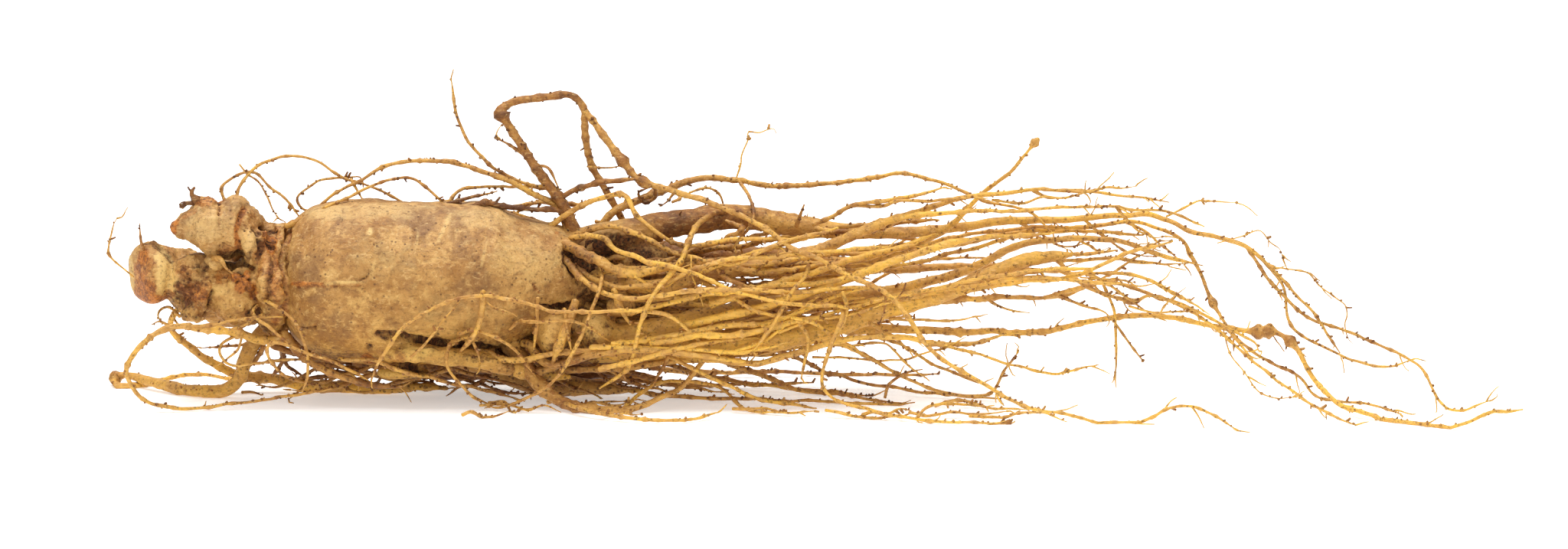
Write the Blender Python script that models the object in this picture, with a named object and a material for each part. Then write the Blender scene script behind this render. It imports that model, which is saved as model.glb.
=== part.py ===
"""A fresh ginseng root lying on its side, grown as one piece.

Millimetres are used for every size below and turned into metres when a mesh is made.
The root lies along X with its rhizome at -X, the rootlets trail to +X, +Y points away
from the viewer and Z is up. The origin is the flat spot of the prop root that it rests on.

Heights are read as they are seen from VIEW_TILT above the floor, because that is how the
root was measured: a point of height z and depth y is seen at z cos(tilt) + y sin(tilt).
"""

import math

import bmesh
import bpy
import numpy as np

MM = 0.001
VIEW_TILT = math.radians(10.0)

# The prop root's flat spot, in the frame of the measured side view.
REST_X = 13.4
REST_Y = 4.04

BARREL_SIDES = 20
LUMP_SIDES = 12
STUB_SIDES = 14
FOOT_SIDES = 8
SPACING = 9.8
FOOT_SPACING = 6.9
THINNEST = 0.86

# A rod's radius as a share of its girth: a three-sided one is wider, to have a round one's section.
ROUND_SHARE = 0.51
THREE_SIDED_SHARE = 0.56

# All but the feet stay this far above the floor, so that the root stands firmly on its feet.
CLEARANCE = 0.6
FEET = ("prop root", "rear prop root", "front prop root", "hook root")

# The barrel: (x, top, bottom) as seen from the side.
BARREL = (
    (-51.5, 35.0, 21.0), (-50.3, 38.5, 17.5), (-48.3, 41.3, 14.3), (-46.0, 43.2, 12.2),
    (-43.0, 45.0, 10.6), (-40.0, 46.0, 9.6), (-36.0, 46.6, 8.8), (-30.0, 47.0, 8.3),
    (-22.0, 46.3, 9.0), (-12.0, 46.0, 10.3), (-6.0, 46.4, 11.0), (0.0, 45.5, 11.6),
    (5.0, 43.0, 13.2), (10.0, 42.1, 16.0), (15.0, 41.0, 18.5), (20.0, 38.6, 21.3),
    (24.0, 35.5, 24.5), (26.5, 32.5, 27.5),
)
FURROWS = (-36.0, -27.5, -17.5, -8.5, 2.5)
FURROW_DEPTH = 0.55
FURROW_WIDTH = 1.0

# Lumps of the rhizome, lofted along X: (x, top, bottom, depth, width over height).
COLLAR = (
    (-58.0, 35.5, 22.0, 0.0, 1.0), (-56.3, 40.2, 17.8, 0.0, 1.0), (-54.2, 42.2, 15.6, 0.0, 1.02),
    (-51.8, 42.7, 14.8, 0.0, 1.02), (-49.5, 41.5, 15.4, 0.0, 1.0), (-47.0, 36.0, 20.0, 0.0, 1.0),
)
UPPER_KNOB = (
    (-52.0, 41.0, 32.5, -1.0, 1.0), (-55.5, 43.2, 33.0, -1.5, 1.05), (-57.5, 45.5, 33.8, -2.0, 1.1),
    (-61.0, 48.3, 33.6, -2.5, 1.0), (-63.2, 47.2, 33.0, -2.8, 0.95), (-65.4, 46.2, 33.3, -3.0, 0.9),
    (-67.6, 47.9, 34.0, -3.2, 0.92), (-71.0, 46.0, 36.8, -3.6, 0.95), (-73.6, 44.4, 38.0, -4.0, 0.95),
    (-76.3, 41.6, 39.3, -4.5, 1.0),
)
LOWER_LUMP = (
    (-51.5, 33.0, 19.0, -1.0, 1.0), (-55.0, 33.8, 18.7, -2.0, 1.05), (-58.5, 33.4, 17.7, -3.0, 1.05),
    (-62.0, 32.0, 17.0, -3.4, 1.0), (-66.0, 32.6, 17.6, -3.6, 0.95), (-70.0, 34.6, 18.0, -3.4, 0.95),
    (-74.0, 34.0, 19.4, -3.0, 0.9), (-77.0, 31.5, 22.6, -2.5, 0.85), (-78.8, 29.0, 26.0, -2.0, 0.8),
)
BACK_LUMP = (
    (-52.0, 36.0, 22.0, 7.0, 0.9), (-56.0, 37.5, 21.0, 7.5, 0.85), (-60.5, 36.5, 22.5, 7.0, 0.8),
    (-64.5, 33.0, 26.0, 6.0, 0.8),
)

# The bud stub is turned about its own axis, which points left and towards the viewer.
STUB_AXIS = (-0.87, -0.5, 0.02)
STUB_FOOT = (-74.0, 3.0, 30.2)
STUB_PROFILE = (
    (-3.0, 4.6), (0.0, 5.2), (3.4, 5.2), (6.2, 6.3), (8.6, 7.2), (10.4, 7.1), (11.2, 6.0),
    (10.6, 4.2), (9.9, 2.0),
)

# Roots: name -> (girths, depths, side points). Girths and depths are spread evenly from base to tip.
# Side points are (x, seen height).
LEGS = {
    "upper leg": (
        (9.6, 8.6, 6.8, 6.0, 5.6, 4.6, 3.2, 2.5, 2.2, 2.0, 1.7, 1.5, 1.3, 1.2, 1.0), (0, 3, 6, 7, 6, 2, -3),
        ((14, 34), (24, 37.3), (31, 38.7), (37, 40.6), (48, 42.3), (55, 42.9), (61, 42.5), (68, 41.1),
         (80, 39.7), (90, 39.3), (100, 39.7), (110, 40.8), (120, 41.9), (138, 42.7), (151, 43.5),
         (156.8, 42.3), (162.5, 39.7), (168.9, 38.2), (175.8, 35.9), (182.3, 30.7))),
    "hidden leg": (
        (8.4, 8.0, 6.0, 4.6, 3.4, 2.4, 1.8, 1.4, 1.1), (3, 11, 16, 19, 19, 17, 14),
        ((14, 31), (22, 33.5), (30, 34.5), (38, 34), (48, 33.5), (60, 34), (75, 33), (95, 31), (115, 31.5),
         (132, 30))),
    "speckled leg": (
        (6.0, 3.6, 3.2, 3.0, 3.0, 2.6, 2.3, 2.1, 1.8, 1.4, 1.1, 0.9), (-2, -10, -9, -7, -5, -4, -2, 0, 2),
        ((16, 27), (28, 27.3), (35, 26.7), (42, 27.5), (50, 29), (57, 30.8), (65, 32.5), (76, 35.3), (84, 38.8),
         (92, 42), (103, 45.5), (110, 47.5), (124.4, 49.2), (135.1, 49), (145.3, 48), (157.9, 46.4))),
    "lower leg": (
        (9.0, 7.2, 5.8, 5.2, 4.4, 3.8, 3.0, 2.4, 2.2, 2.0, 1.8, 1.5, 1.3, 1.0), (-4, -9, -9, -6, -2, 2, 2, 0, -2),
        ((12, 20), (20, 16), (27, 14.8), (35, 16), (42, 17.5), (52, 20), (60, 21.5), (67, 22.5), (76, 23.6),
         (85, 24.5), (98, 27), (110, 30.2), (120.6, 35.5), (133.6, 38.1), (146.1, 37.4), (154.1, 34.5),
         (164, 32.1))),
    "middle leg": (
        (6.0, 4.4, 4.0, 3.4, 3.0, 2.6, 2.2, 2.0, 1.9, 1.7, 1.4, 1.2), (2, 5, 8, 10, 8, 4, 0, -4),
        ((16, 25), (30, 22.6), (45, 22.7), (60, 25.7), (75, 28.5), (92, 34), (102, 38.3), (106, 40.5),
         (110, 44.2), (116.8, 50.7), (121.8, 54.9), (126.9, 61.1))),
    "blunt leg": (
        (10.0, 9.0, 6.8, 5.4, 5.2, 5.5, 5.8, 5.2, 4.8, 4.5, 4.2, 3.9, 3.8, 3.6, 2.6),
        (-2, -8, -12, -12, -10, -8, -8, -8, -6),
        ((8, 19), (18, 13.5), (28, 11.6), (40, 12), (50, 13), (58, 14.2), (66, 14.4), (74, 15.8), (82, 18),
         (90, 20.8), (98, 23), (106, 25.2), (112.3, 27.9), (117.6, 30.2), (123.7, 32.8), (129.8, 33.6),
         (134.9, 33.9))),
    "rear leg": (
        (7.0, 6.0, 4.6, 3.6, 2.8, 2.2, 1.8, 1.5, 1.3, 1.2, 1.1, 1.0, 0.9), (5, 13, 15, 14, 11, 8, 4, 0, -6, -12),
        ((14, 28), (24, 29.5), (36, 30.5), (50, 31), (64, 31), (78, 31.4), (90, 32), (104, 36), (117.6, 38.2),
         (134.7, 40.4), (148, 41.9), (155.6, 40.2), (160.9, 37.4), (163.2, 33.2), (165.5, 29), (167.4, 24.1),
         (170, 19.5), (173.5, 14.3), (177, 9.8))),
    "long leg": (
        (6.4, 4.6, 3.6, 3.0, 2.4, 2.0, 1.7, 1.5, 1.4, 1.3, 1.3, 1.2, 1.2, 1.1, 0.9, 0.8),
        (4, 9, 8, 5, 2, 0, -3, -6, -12, -26, -40, -34),
        ((12, 19), (24, 17), (45, 14.5), (60, 15), (75, 16.3), (88, 16.5), (103, 16.3), (117.6, 15.9),
         (128.2, 15.8), (140.4, 18.2), (148, 19.1), (157.5, 19.5), (167.8, 17.2), (178.1, 15.9), (182.7, 15.7),
         (187.3, 12.6), (191.1, 5.4), (197.2, -0.7), (204.6, -3.6), (215.1, -7.1), (225.6, -4.8),
         (232.4, -2.6), (239, -2.3))),
    "arch": (
        (3.6, 2.6, 2.1, 1.9, 1.8, 1.7, 1.6, 1.6, 1.6), (0, 2, 4, 6, 7, 8),
        ((19.5, 36.5), (17.1, 41.7), (16.4, 43.9), (14.2, 47.6), (9.7, 53.5), (6.1, 59.1), (3.8, 62.4),
         (0.9, 67.1), (2.3, 69), (4.9, 70.3), (10.5, 71.1), (17.2, 71.3), (20.1, 68.9), (20.4, 65.5),
         (20.8, 60.5), (21.9, 55.4), (25.6, 48.7), (28.9, 42.8), (30.5, 38.5))),
    "left under leg": (
        (4.0, 5.0, 5.2, 4.6, 4.0, 3.2, 2.2), (-9.5, -12.5, -13.5, -13.5, -12, -9, -8),
        ((-33, 14.5), (-27, 12.2), (-20, 11.4), (-13, 10.6), (-5, 9.6), (2, 7.6), (9, 5.8), (17, 5.2))),
    "prop root": (
        (8.0, 6.4, 5.6, 5.6, 4.8, 3.0, 1.8), (0, 1, 3, 4.3, 4.3, 4, 4),
        ((-10, 15), (-4, 10.5), (4, 5.4), (11, 3.05), (16, 2.95), (22, 2.9), (28, 2.6), (33, 2.2))),
    "rear prop root": (
        (7.0, 5.6, 4.6, 4.2, 3.6, 2.6, 1.8), (8, 15, 20, 22, 22, 21, 19),
        ((-24, 18), (-18, 12), (-10, 8.2), (-2, 6.5), (6, 5.8), (15, 5.4), (26, 5.1), (38, 4.6))),
    "front prop root": (
        (6.0, 4.2, 3.2, 2.8, 2.4, 1.8, 1.6, 1.4, 1.2), (-4, -10, -15, -18, -18.5, -17, -14, -13, -13),
        ((2, 15), (7, 7.5), (12, 1.6), (19, -1.8), (27, -2.4), (33, -1.6), (38, 0.5), (43, 3), (49, 9.3),
         (54, 13))),
    "hook root": (
        (6.0, 4.4, 3.4, 3.0, 2.9, 2.8, 2.6, 2.2, 1.8), (0, 0, 1, 2.2, 2.6, 5, 10, 15, 19),
        ((-51, 19), (-56.5, 14.5), (-59.6, 9.6), (-60.9, 5.2), (-64.2, 2.2), (-69, 1.5), (-73.5, 1.8),
         (-78.4, 3.0), (-82.8, 4.1), (-86.5, 5.2), (-89.3, 5.9))),
    "floor runner": (
        (1.6, 1.4, 1.7, 2.0, 2.3, 2.6, 2.9, 2.8, 2.4, 2.0, 1.4), (-2, 3, 7, 9, 9, 8, 6, 6),
        ((-73.5, 23.5), (-77.2, 17.5), (-72.9, 12.4), (-67, 8.3), (-61.8, 5.8), (-54.5, 5), (-47.1, 3.2),
         (-40, 2.8), (-32.4, 2.6), (-26.8, 2.6), (-20, 2.5), (-12, 2.4))),
}

ROOTLETS = {
    "hoop": ((2.2, 1.9, 1.5, 1.2, 1.0, 0.9, 0.9), (-7, -13, -17, -19, -18, -16, -13, -12), (
        (-49, 15), (-55.2, 14), (-61.8, 15.7), (-69.2, 16.6), (-73.8, 17.5), (-80.6, 15.2), (-85, 10.4),
        (-86.3, 6.3), (-83.6, 1), (-79.2, -1.3), (-72.2, -2.1), (-64.8, -1.4), (-56.3, -0.6), (-48.9, 0.8),
        (-38.6, 3.2))),
    "hook tip": ((1.7, 1.4, 1.2, 1.0, 1.0), (19, 18, 14, 16, 22, 26, 22, 17), (
        (-88.2, 5.7), (-91.2, 4.6), (-90.2, 3), (-83.9, 3.5), (-78.4, 4.7), (-69.9, 5.6), (-60, 4.1),
        (-52, 3.8))),
    "hoop branch": ((0.9,), (-15, -16, -16, -14), (
        (-73.8, 17.3), (-67, 17.7), (-59.6, 19.2), (-50, 19.5))),
    "front loop": ((1.0, 0.9), (-9, -16, -19, -17, -15), (
        (-55, 23.6), (-53, 22.5), (-47.1, 18.3), (-44.3, 12.2), (-44, 5.9), (-45.5, 2.2))),
    "crossed loop": ((1.0, 0.9), (-9, -16, -19, -19, -13), (
        (-55.5, 22.8), (-56.7, 20.3), (-51.5, 15.5), (-45.6, 11.6), (-38, 8.6), (-30, 5))),
    "drop loop": ((1.0, 0.9), (-14, -18, -17, -13, -10), (
        (-47.6, 13.6), (-51.5, 13.9), (-53.4, 12), (-52.6, 8.6), (-49.3, 5.2), (-43, 3))),
    "left lace": ((0.9,), (-11, -15, -14, -11), (
        (-60.5, 15.3), (-64.6, 13), (-64.7, 9.7), (-61.1, 7.7), (-51.5, 9.3), (-44, 9.4))),
    "under barrel": ((2.0, 1.8, 1.6, 1.3), (-8, -12, -13, -12), (
        (-50, 16), (-47.1, 11.8), (-43.4, 8.6), (-37.5, 5.6), (-30, 3.6), (-22, 3.2))),
    "top arc": ((1.0, 0.8), (-1, 1, 3, 2), (
        (-63.5, 45.5), (-64.8, 49.8), (-61.9, 52.3), (-57.3, 53.3), (-53.3, 50), (-49.7, 47.1), (-46.2, 42))),
    "long top arc": ((1.0, 0.8), (-2, 2, 4, 5, 3), (
        (-61.3, 46), (-60.5, 50.2), (-56.9, 54.9), (-49.7, 57.1), (-43, 56.3), (-35.8, 52.1), (-29.9, 50.2),
        (-20.3, 45.2))),
    "cross top root": ((1.6, 1.4, 1.1, 0.9), (1, 2, 4, 5, 3, 1), (
        (16.5, 38.5), (14.2, 45), (8.3, 48.4), (2.9, 51.7), (-4.3, 54), (-13.9, 56.3), (-25.3, 55.3),
        (-32.9, 51), (-38.8, 47.9), (-44.2, 43.6))),
    "low top arc": ((0.9,), (-3, 0, 2, 0), (
        (-41, 44.8), (-32.9, 48.7), (-24.5, 51.9), (-18.8, 51.1), (-11, 45))),
    "crown root": ((1.0, 0.9), (0, 3, 5, 4), (
        (-12, 45), (-9.3, 48.7), (-2.2, 50.1), (10, 49.6), (13.6, 48.6))),
    "crown strand": ((1.5, 1.4, 1.2), (-3, -2, -1, 1), (
        (-7, 44.6), (-2.8, 46.2), (3.9, 44.6), (13.2, 44.7), (18, 42.5))),
    "tall wisp": ((1.1, 1.0, 0.9), (3, 6, 7, 8), (
        (12.2, 50.3), (8.3, 50.2), (0.8, 53.6), (-5.1, 58.2), (-9.5, 66.6), (-11, 75.3))),
    "arch runner": (
        (1.8, 1.6, 1.5, 1.3, 1.3, 1.2, 1.1, 1.0, 1.0, 0.9),
        (7, 2, -4, -8, -14, -18, -22, -28, -34, -30, -32, -40), (
            (20.4, 68.3), (24.1, 63.5), (29.3, 56.1), (34.1, 51), (41.8, 48.9), (51.4, 45.6), (62.4, 40.8),
            (69.7, 35.3), (81.5, 29.7), (90.4, 25.7), (95.9, 20.2), (101.4, 12), (112.5, 4.7), (121.7, -1),
            (131, -2.3), (141, -5.2), (150, -5), (158, -1.2), (165, -2.5), (172, -6.5))),
    "arch twig": ((1.0, 0.9), (4, 7), ((7.8, 56.1), (3, 59.8), (-0.4, 61.6))),
    "arch spur": ((1.0, 0.9), (3, 1), ((8.6, 54.9), (12, 54.3), (14.3, 49.5))),
    "arch tie": ((1.5, 1.3), (1, 0, -3), ((14.4, 47.4), (20.8, 50.4), (33.5, 51.2))),
    "mane 1": ((1.6, 1.2, 1.1), (0, -4, -9, -11, -12), (
        (11.5, 40), (18.9, 45.2), (29.3, 48.2), (33.3, 42.5), (43.1, 36.5), (56, 37.2), (70, 38))),
    "mane 2": ((1.5, 1.2, 1.0), (-4, -10, -14, -14, -12), (
        (18, 38.5), (28.4, 40.6), (42.4, 34.5), (54.5, 32.1), (64.5, 36.3), (78, 39.5))),
    "mane 3": ((1.5, 1.2, 1.0), (-5, -12, -17, -19, -17), (
        (17, 38), (24.3, 38.3), (29.1, 34.3), (42.7, 30.6), (57.5, 24.7), (68.2, 22.9), (84, 21.5))),
    "top runner": ((2.2, 1.8, 1.5, 1.3, 1.1, 1.0, 0.9), (3, 9, 13, 13, 10, 6, 2), (
        (22, 37), (27.1, 43.9), (35.5, 48), (48.4, 52.2), (65.5, 50.6), (85.8, 51.6), (95, 53), (102.3, 51.6),
        (113.4, 47), (124.8, 44), (130.1, 39.9))),
    "side loop": ((1.0,), (10, 2, -3, -3), ((56.5, 50.9), (59.8, 46), (59.8, 41), (56, 36.5))),
    "companion": ((2.0, 1.6, 1.2), (7, 11, 12, 10), ((46, 42.5), (62, 44.3), (78, 41.3), (100, 37.5))),
    "knee root": ((1.6, 1.4, 1.2, 1.1), (5, 0, -7, -14, -19, -20, -17, -15), (
        (57, 42.3), (52, 44), (46.5, 40), (43, 32), (37, 25), (33.5, 17.5), (31, 8), (24, 2.6))),
    "mid 1": ((1.1, 0.9), (-5, -16, -21, -21, -17, -14), (
        (24, 32), (24.5, 26.5), (19, 13), (13, 4), (5, -0.7), (-2, -1.2))),
    "mid 2": ((1.1, 1.0), (-16, -19, -21, -21, -22, -22, -20), (
        (48, 13.5), (40, 20), (30, 20.9), (14, 20.7), (0, 24.3), (-10, 23.2), (-20, 18), (-26.5, 10),
        (-29, 5))),
    "mid 3": ((1.0, 0.9), (-13, -19.5, -18, -13), ((-9, 18), (-2, 15.6), (4, 12.4), (9, 6))),
    "mid 4": ((1.0, 0.9), (-11, -20, -20, -15), ((3, 19), (10, 18.6), (19, 18.5), (27, 13))),
    "mid 5": ((1.0, 0.9), (-12, -20, -16, -12), ((-9, 17), (-11.5, 8.5), (-6, 1), (-2, -1))),
    "mid 7": ((1.6, 1.3, 1.2, 1.0), (-6, -16, -19, -18, -14), (
        (15, 34), (22, 27), (33, 23.7), (50, 25.8), (68, 25.3), (90, 27))),
    "mid 8": ((1.5, 1.3, 1.1), (-6, -15, -16, -14, -12), (
        (15, 33), (26, 27.3), (36, 27), (52, 32), (70, 34), (92, 35.5))),
    "mid 9": ((2.8, 2.2, 1.6, 1.3, 1.1), (-5, -13, -14, -10, -8), (
        (15, 37), (23, 33.4), (31, 29.8), (45, 31.5), (65, 29.5), (88, 30.5))),
    "low 1": ((2.0, 1.6, 1.5, 1.3), (-4, -8, -10, -14), ((-14, 13), (-6, 7.6), (15, 6.8), (35, 8), (58, 10.5))),
    "low 2": ((1.6, 1.3, 1.1), (-9, -14, -17, -14, -12), (
        (-4, 14), (2, 9.6), (18, 11.3), (42, 15), (65, 20), (86, 24))),
    "low 3": ((2.2, 1.8, 1.4), (-7, -17, -18, -16), ((6, 15), (13, 8.3), (30, 12), (46, 10.5), (60, 8.5))),
    "drop root": ((1.3, 1.0, 1.0, 0.9), (-10, -18, -21, -22, -28, -34, -31), (
        (76, 27), (81.2, 22), (78, 12), (76.4, 3.5), (83, -0.9), (99, -4.7), (110, -5), (120, -5.6))),
    "drop fork": ((0.9,), (-29, -26, -18), ((98, -4.5), (102, -1.4), (115, -1.5))),
    "floor 3": ((1.3, 1.1, 1.0), (-12, -16, -14, -13), ((35, 11.8), (45, 8), (60, 0.7), (75, -1.6))),
    "floor 4": ((1.2, 1.0), (-10, -15, -10, -6), ((-37, 13), (-24, 7.5), (-8, 3), (4, 0.2))),
    "floor 6": ((1.2, 0.9), (-14, -24, -30, -30, -24), ((15, 0.2), (22, -2.8), (34, -4.6), (44, -4.6), (52, -3))),
    "floor 7": ((1.2, 1.0, 0.9), (-16, -9, -9, -16, -22), ((29, -1.2), (38, 4), (51, 2.8), (58, -2.2), (66, -3))),
    "floor 8": ((1.4, 1.0, 0.9), (4.3, -4, -7, -7, -9), ((27, 2.4), (42, 1), (60, -0.1), (80, -0.9), (98, -0.8))),
    "floor 9": ((1.4, 1.2, 0.9), (9, 15, 14, 8, 2), ((32, 14), (42, 7.5), (54, 4.2), (68, 2.6), (88, 1))),
    "floor 10": ((1.6, 1.4, 1.0, 0.9), (-8, 0, 6, 2, -8), ((46, 13), (56, 7.5), (70, 2.9), (80, 1.2), (93, -0.5))),
    "floor 11": ((1.4, 1.0, 0.9), (-7, 2, 7, 4, -4), ((60, 14), (72, 8.6), (84, 4.5), (97, 2.2), (118, 0.2))),
    "floor 12": ((1.3, 1.0, 0.9), (-8, -10, -10, -6, -5, -9), (
        (70, 15), (80, 13), (92, 7), (105, 1.5), (115, 0.9), (119, 7), (122.3, 11.3))),
    "floor 13": ((1.0, 0.9), (1, 7, 11, 10), ((84, 16.4), (95, 13), (104, 7.3), (116, 2.6))),
    "rear floor 1": ((1.8, 1.4, 1.1, 0.9), (8, 18, 27, 30, 28), (
        (4, 23), (20, 11), (40, 7), (62, 6.2), (84, 5.6), (104, 5.6))),
    "rear floor 2": ((1.6, 1.2, 0.9), (21, 26, 20, 14, 16), ((2, 5.6), (14, 5.4), (32, 4.2), (52, 3.4), (74, 3.8))),
    "low side leg": ((1.8, 1.6, 1.5, 1.4, 1.2), (-10, -16, -17, -15, -13, -12), (
        (36, 11.7), (56, 8.7), (67, 10), (82, 14), (95, 14.7), (107, 13.3), (118.5, 15))),
    "low side fork": ((1.0, 0.9), (-14, -16, -15), ((104, 13.8), (114.9, 9.8), (128.6, 6.2), (140, 7.7))),
    "blunt fork 1": ((2.0, 1.6, 1.3, 1.0, 0.9), (-8, -4, -1, 0), (
        (98, 22.8), (113.8, 23.9), (129, 24.1), (136.6, 25.6), (144.2, 29.8), (152.2, 34.4))),
    "blunt fork 2": ((1.6, 1.3, 1.1), (-8, -12, -13, -11), (
        (106, 25), (125.2, 28.1), (138.9, 30.4), (149.5, 35.1), (158, 37.6))),
    "blunt fork 3": ((1.4, 1.1, 1.0, 0.9), (-7, -8, -10, -14, -18), (
        (131, 33.2), (136.6, 27.5), (148, 23.3), (154.1, 24.3), (166.3, 19.5), (176.5, 14.2), (178.4, 11.2))),
    "blunt fork 4": ((1.4, 1.1, 1.0, 0.9), (-5, -6, -12, -18, -26, -34), (
        (128.5, 24.1), (142.3, 27.5), (157.5, 23.5), (167, 17.6), (176.5, 9.3), (185.2, 2.5), (194.5, -3),
        (200, -5.2))),
    "hanging root": ((1.0, 0.9), (-6, -8, -9), ((142, 27.4), (144.8, 20.3), (145.3, 9.3), (144.9, 5.6))),
    "hanging fork": ((0.9,), (-8, -10), ((145.2, 18.2), (147.6, 14.6), (151.4, 9.3))),
    "upper fork": ((1.6, 1.4, 1.2, 1.0), (4, -1, -7, -8, -6, -4), (
        (72, 40.5), (85, 39.3), (96, 42.5), (110, 44), (136.6, 44.8), (155.6, 44.5), (166, 40))),
    "tip 1": ((1.0, 0.9), (-2, -5, -10), ((178, 34.2), (186.5, 25.8), (191.8, 20.6), (197.8, 11))),
    "tip 2": ((1.0, 0.9), (-2, -4, -12, -16), (
        (179, 33.4), (184.4, 26.5), (186.9, 16.6), (197.8, 10.5), (206, 7.9), (213.8, 9.4))),
    "tip 3": ((1.1, 1.0, 0.9), (-1, -4, -6, -10, -20, -16), (
        (176, 35.6), (181.8, 27.7), (189.8, 19.9), (201.6, 14.9), (215.5, 8.8), (220.8, -0.3), (226.1, -2.6),
        (232.4, -0.3))),
    "tip 4": ((1.0, 0.9), (-4, -7, -10, -20), (
        (171, 16.6), (178.1, 10.9), (187.7, 5.6), (192.4, 0.8), (203.7, -0.9), (211.3, -3))),
}

# Rootlets whose first point is drawn onto the line of the root that they grow from.
GROWS_FROM = {
    "blunt fork 1": "blunt leg", "blunt fork 2": "blunt leg", "blunt fork 3": "blunt leg",
    "blunt fork 4": "blunt fork 1", "hanging root": "blunt fork 4", "hanging fork": "hanging root",
    "upper fork": "upper leg", "tip 1": "upper leg", "tip 2": "upper leg", "tip 3": "upper leg",
    "tip 4": "long leg", "drop root": "lower leg", "drop fork": "drop root", "floor 3": "blunt leg",
    "floor 7": "front prop root", "floor 8": "prop root", "floor 9": "long leg", "floor 10": "blunt leg",
    "floor 11": "blunt leg", "floor 12": "blunt leg", "floor 13": "long leg", "low side leg": "blunt leg",
    "low side fork": "low side leg", "arch twig": "arch", "arch spur": "arch", "arch tie": "arch",
    "arch runner": "arch", "tall wisp": "arch", "hoop branch": "hoop", "drop loop": "crossed loop",
    "hook tip": "hook root", "left lace": "hoop", "side loop": "top runner", "companion": "upper leg",
    "knee root": "upper leg", "rear floor 2": "rear prop root", "floor 6": "front prop root",
}
DRAW_IN = 14.0

# Small knots: (root, x, seen height, diameter), placed on the root's own line.
KNOTS = (
    ("long leg", 178.1, 15.9, 3.2), ("long leg", 181.4, 16.2, 2.9), ("long leg", 185.8, 13.6, 2.5),
    ("middle leg", 126.4, 60.2, 2.4), ("rear leg", 167.6, 22.6, 2.3), ("drop root", 120.0, -5.6, 2.0),
    ("arch runner", 29.3, 56.1, 2.6), ("arch runner", 34.1, 51.0, 3.0), ("arch", 0.9, 67.1, 2.8),
    ("blunt fork 3", 148.2, 23.3, 2.0), ("hook tip", -91.2, 4.6, 2.3), ("upper leg", 182.3, 30.7, 2.0),
)

# Rootlets of the sheaf whose routes are drawn: each wanders inside a swelling bundle.
SHEAF_COUNT = 10
SHEAF_SEED = 7
# The bundle: (x, middle depth, half depth, middle height, half height), true heights.
SHEAF = (
    (16.0, 1.0, 8.0, 27.0, 8.0), (30.0, 1.0, 12.0, 26.0, 12.0), (60.0, 2.0, 18.0, 24.0, 15.0),
    (95.0, 2.0, 20.0, 27.0, 15.0), (125.0, 1.0, 20.0, 33.0, 13.0), (150.0, -2.0, 20.0, 33.0, 13.0),
    (180.0, -6.0, 24.0, 20.0, 12.0),
)


def remove_everything():
    for thing in list(bpy.data.objects):
        bpy.data.objects.remove(thing, do_unlink=True)


def true_height(seen, depth):
    """Undo the tilt of the view for a point seen at a height and lying at a depth."""
    return (seen - depth * math.sin(VIEW_TILT)) / math.cos(VIEW_TILT)


def evenly(values, count):
    """Spread a few values evenly over a number of points."""
    values = np.asarray(values, dtype=float)
    return np.interp(np.linspace(0.0, 1.0, count), np.linspace(0.0, 1.0, len(values)), values)


def smooth_route(points, spacing):
    """Catmull-Rom curve through the points, read off at even distances along it."""
    points = np.asarray(points, dtype=float)
    ends = np.vstack([2 * points[0] - points[1], points, 2 * points[-1] - points[-2]])
    steps = np.linspace(0.0, len(points) - 1.0001, (len(points) - 1) * 12 + 1)
    index = steps.astype(int)
    u = (steps - index)[:, None]
    a, b, c, d = (ends[index + k] for k in range(4))
    fine = 0.5 * (2 * b + (c - a) * u + (2 * a - 5 * b + 4 * c - d) * u**2 + (3 * b - a - 3 * c + d) * u**3)
    along = np.concatenate([[0.0], np.cumsum(np.linalg.norm(np.diff(fine, axis=0), axis=1))])
    count = max(3, int(round(along[-1] / spacing)) + 1)
    at = np.linspace(0.0, along[-1], count)
    return np.stack([np.interp(at, along, fine[:, k]) for k in range(3)], axis=1)


def route_of(depths, side):
    """Turn side points and depths into true points."""
    side = np.asarray(side, dtype=float)
    depth = evenly(depths, len(side))
    return np.stack([side[:, 0], depth, true_height(side[:, 1], depth)], axis=1)


def finer(centres):
    """A route's straight runs divided in eight, to find the nearest place on it."""
    steps = np.arange(8 * (len(centres) - 1) + 1) / 8
    return np.stack([np.interp(steps, np.arange(len(centres)), centres[:, k]) for k in range(3)], axis=1)


def new_object(name, points, faces, collection):
    """Put a closed mesh, given in millimetres of the side view, into a collection."""
    placed = (np.asarray(points, dtype=float) - (REST_X, REST_Y, 0.0)) * MM
    mesh = bpy.data.meshes.new(name)
    mesh.from_pydata(placed.tolist(), [], faces)
    mesh.update()
    shape = bmesh.new()
    shape.from_mesh(mesh)
    bmesh.ops.recalc_face_normals(shape, faces=shape.faces)
    shape.to_mesh(mesh)
    shape.free()
    thing = bpy.data.objects.new(name, mesh)
    collection.objects.link(thing)
    return thing


def ring_faces(rings, sides):
    """Quads between rings, and a fan to a pole at each end. The poles are the last two points."""
    faces = []
    for ring in range(rings - 1):
        for side in range(sides):
            here, there = ring * sides + side, ring * sides + (side + 1) % sides
            faces.append((here, there, there + sides, here + sides))
    first_pole, last_pole = rings * sides, rings * sides + 1
    last_ring = (rings - 1) * sides
    for side in range(sides):
        faces.append((first_pole, (side + 1) % sides, side))
        faces.append((last_pole, last_ring + side, last_ring + (side + 1) % sides))
    return faces


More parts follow.
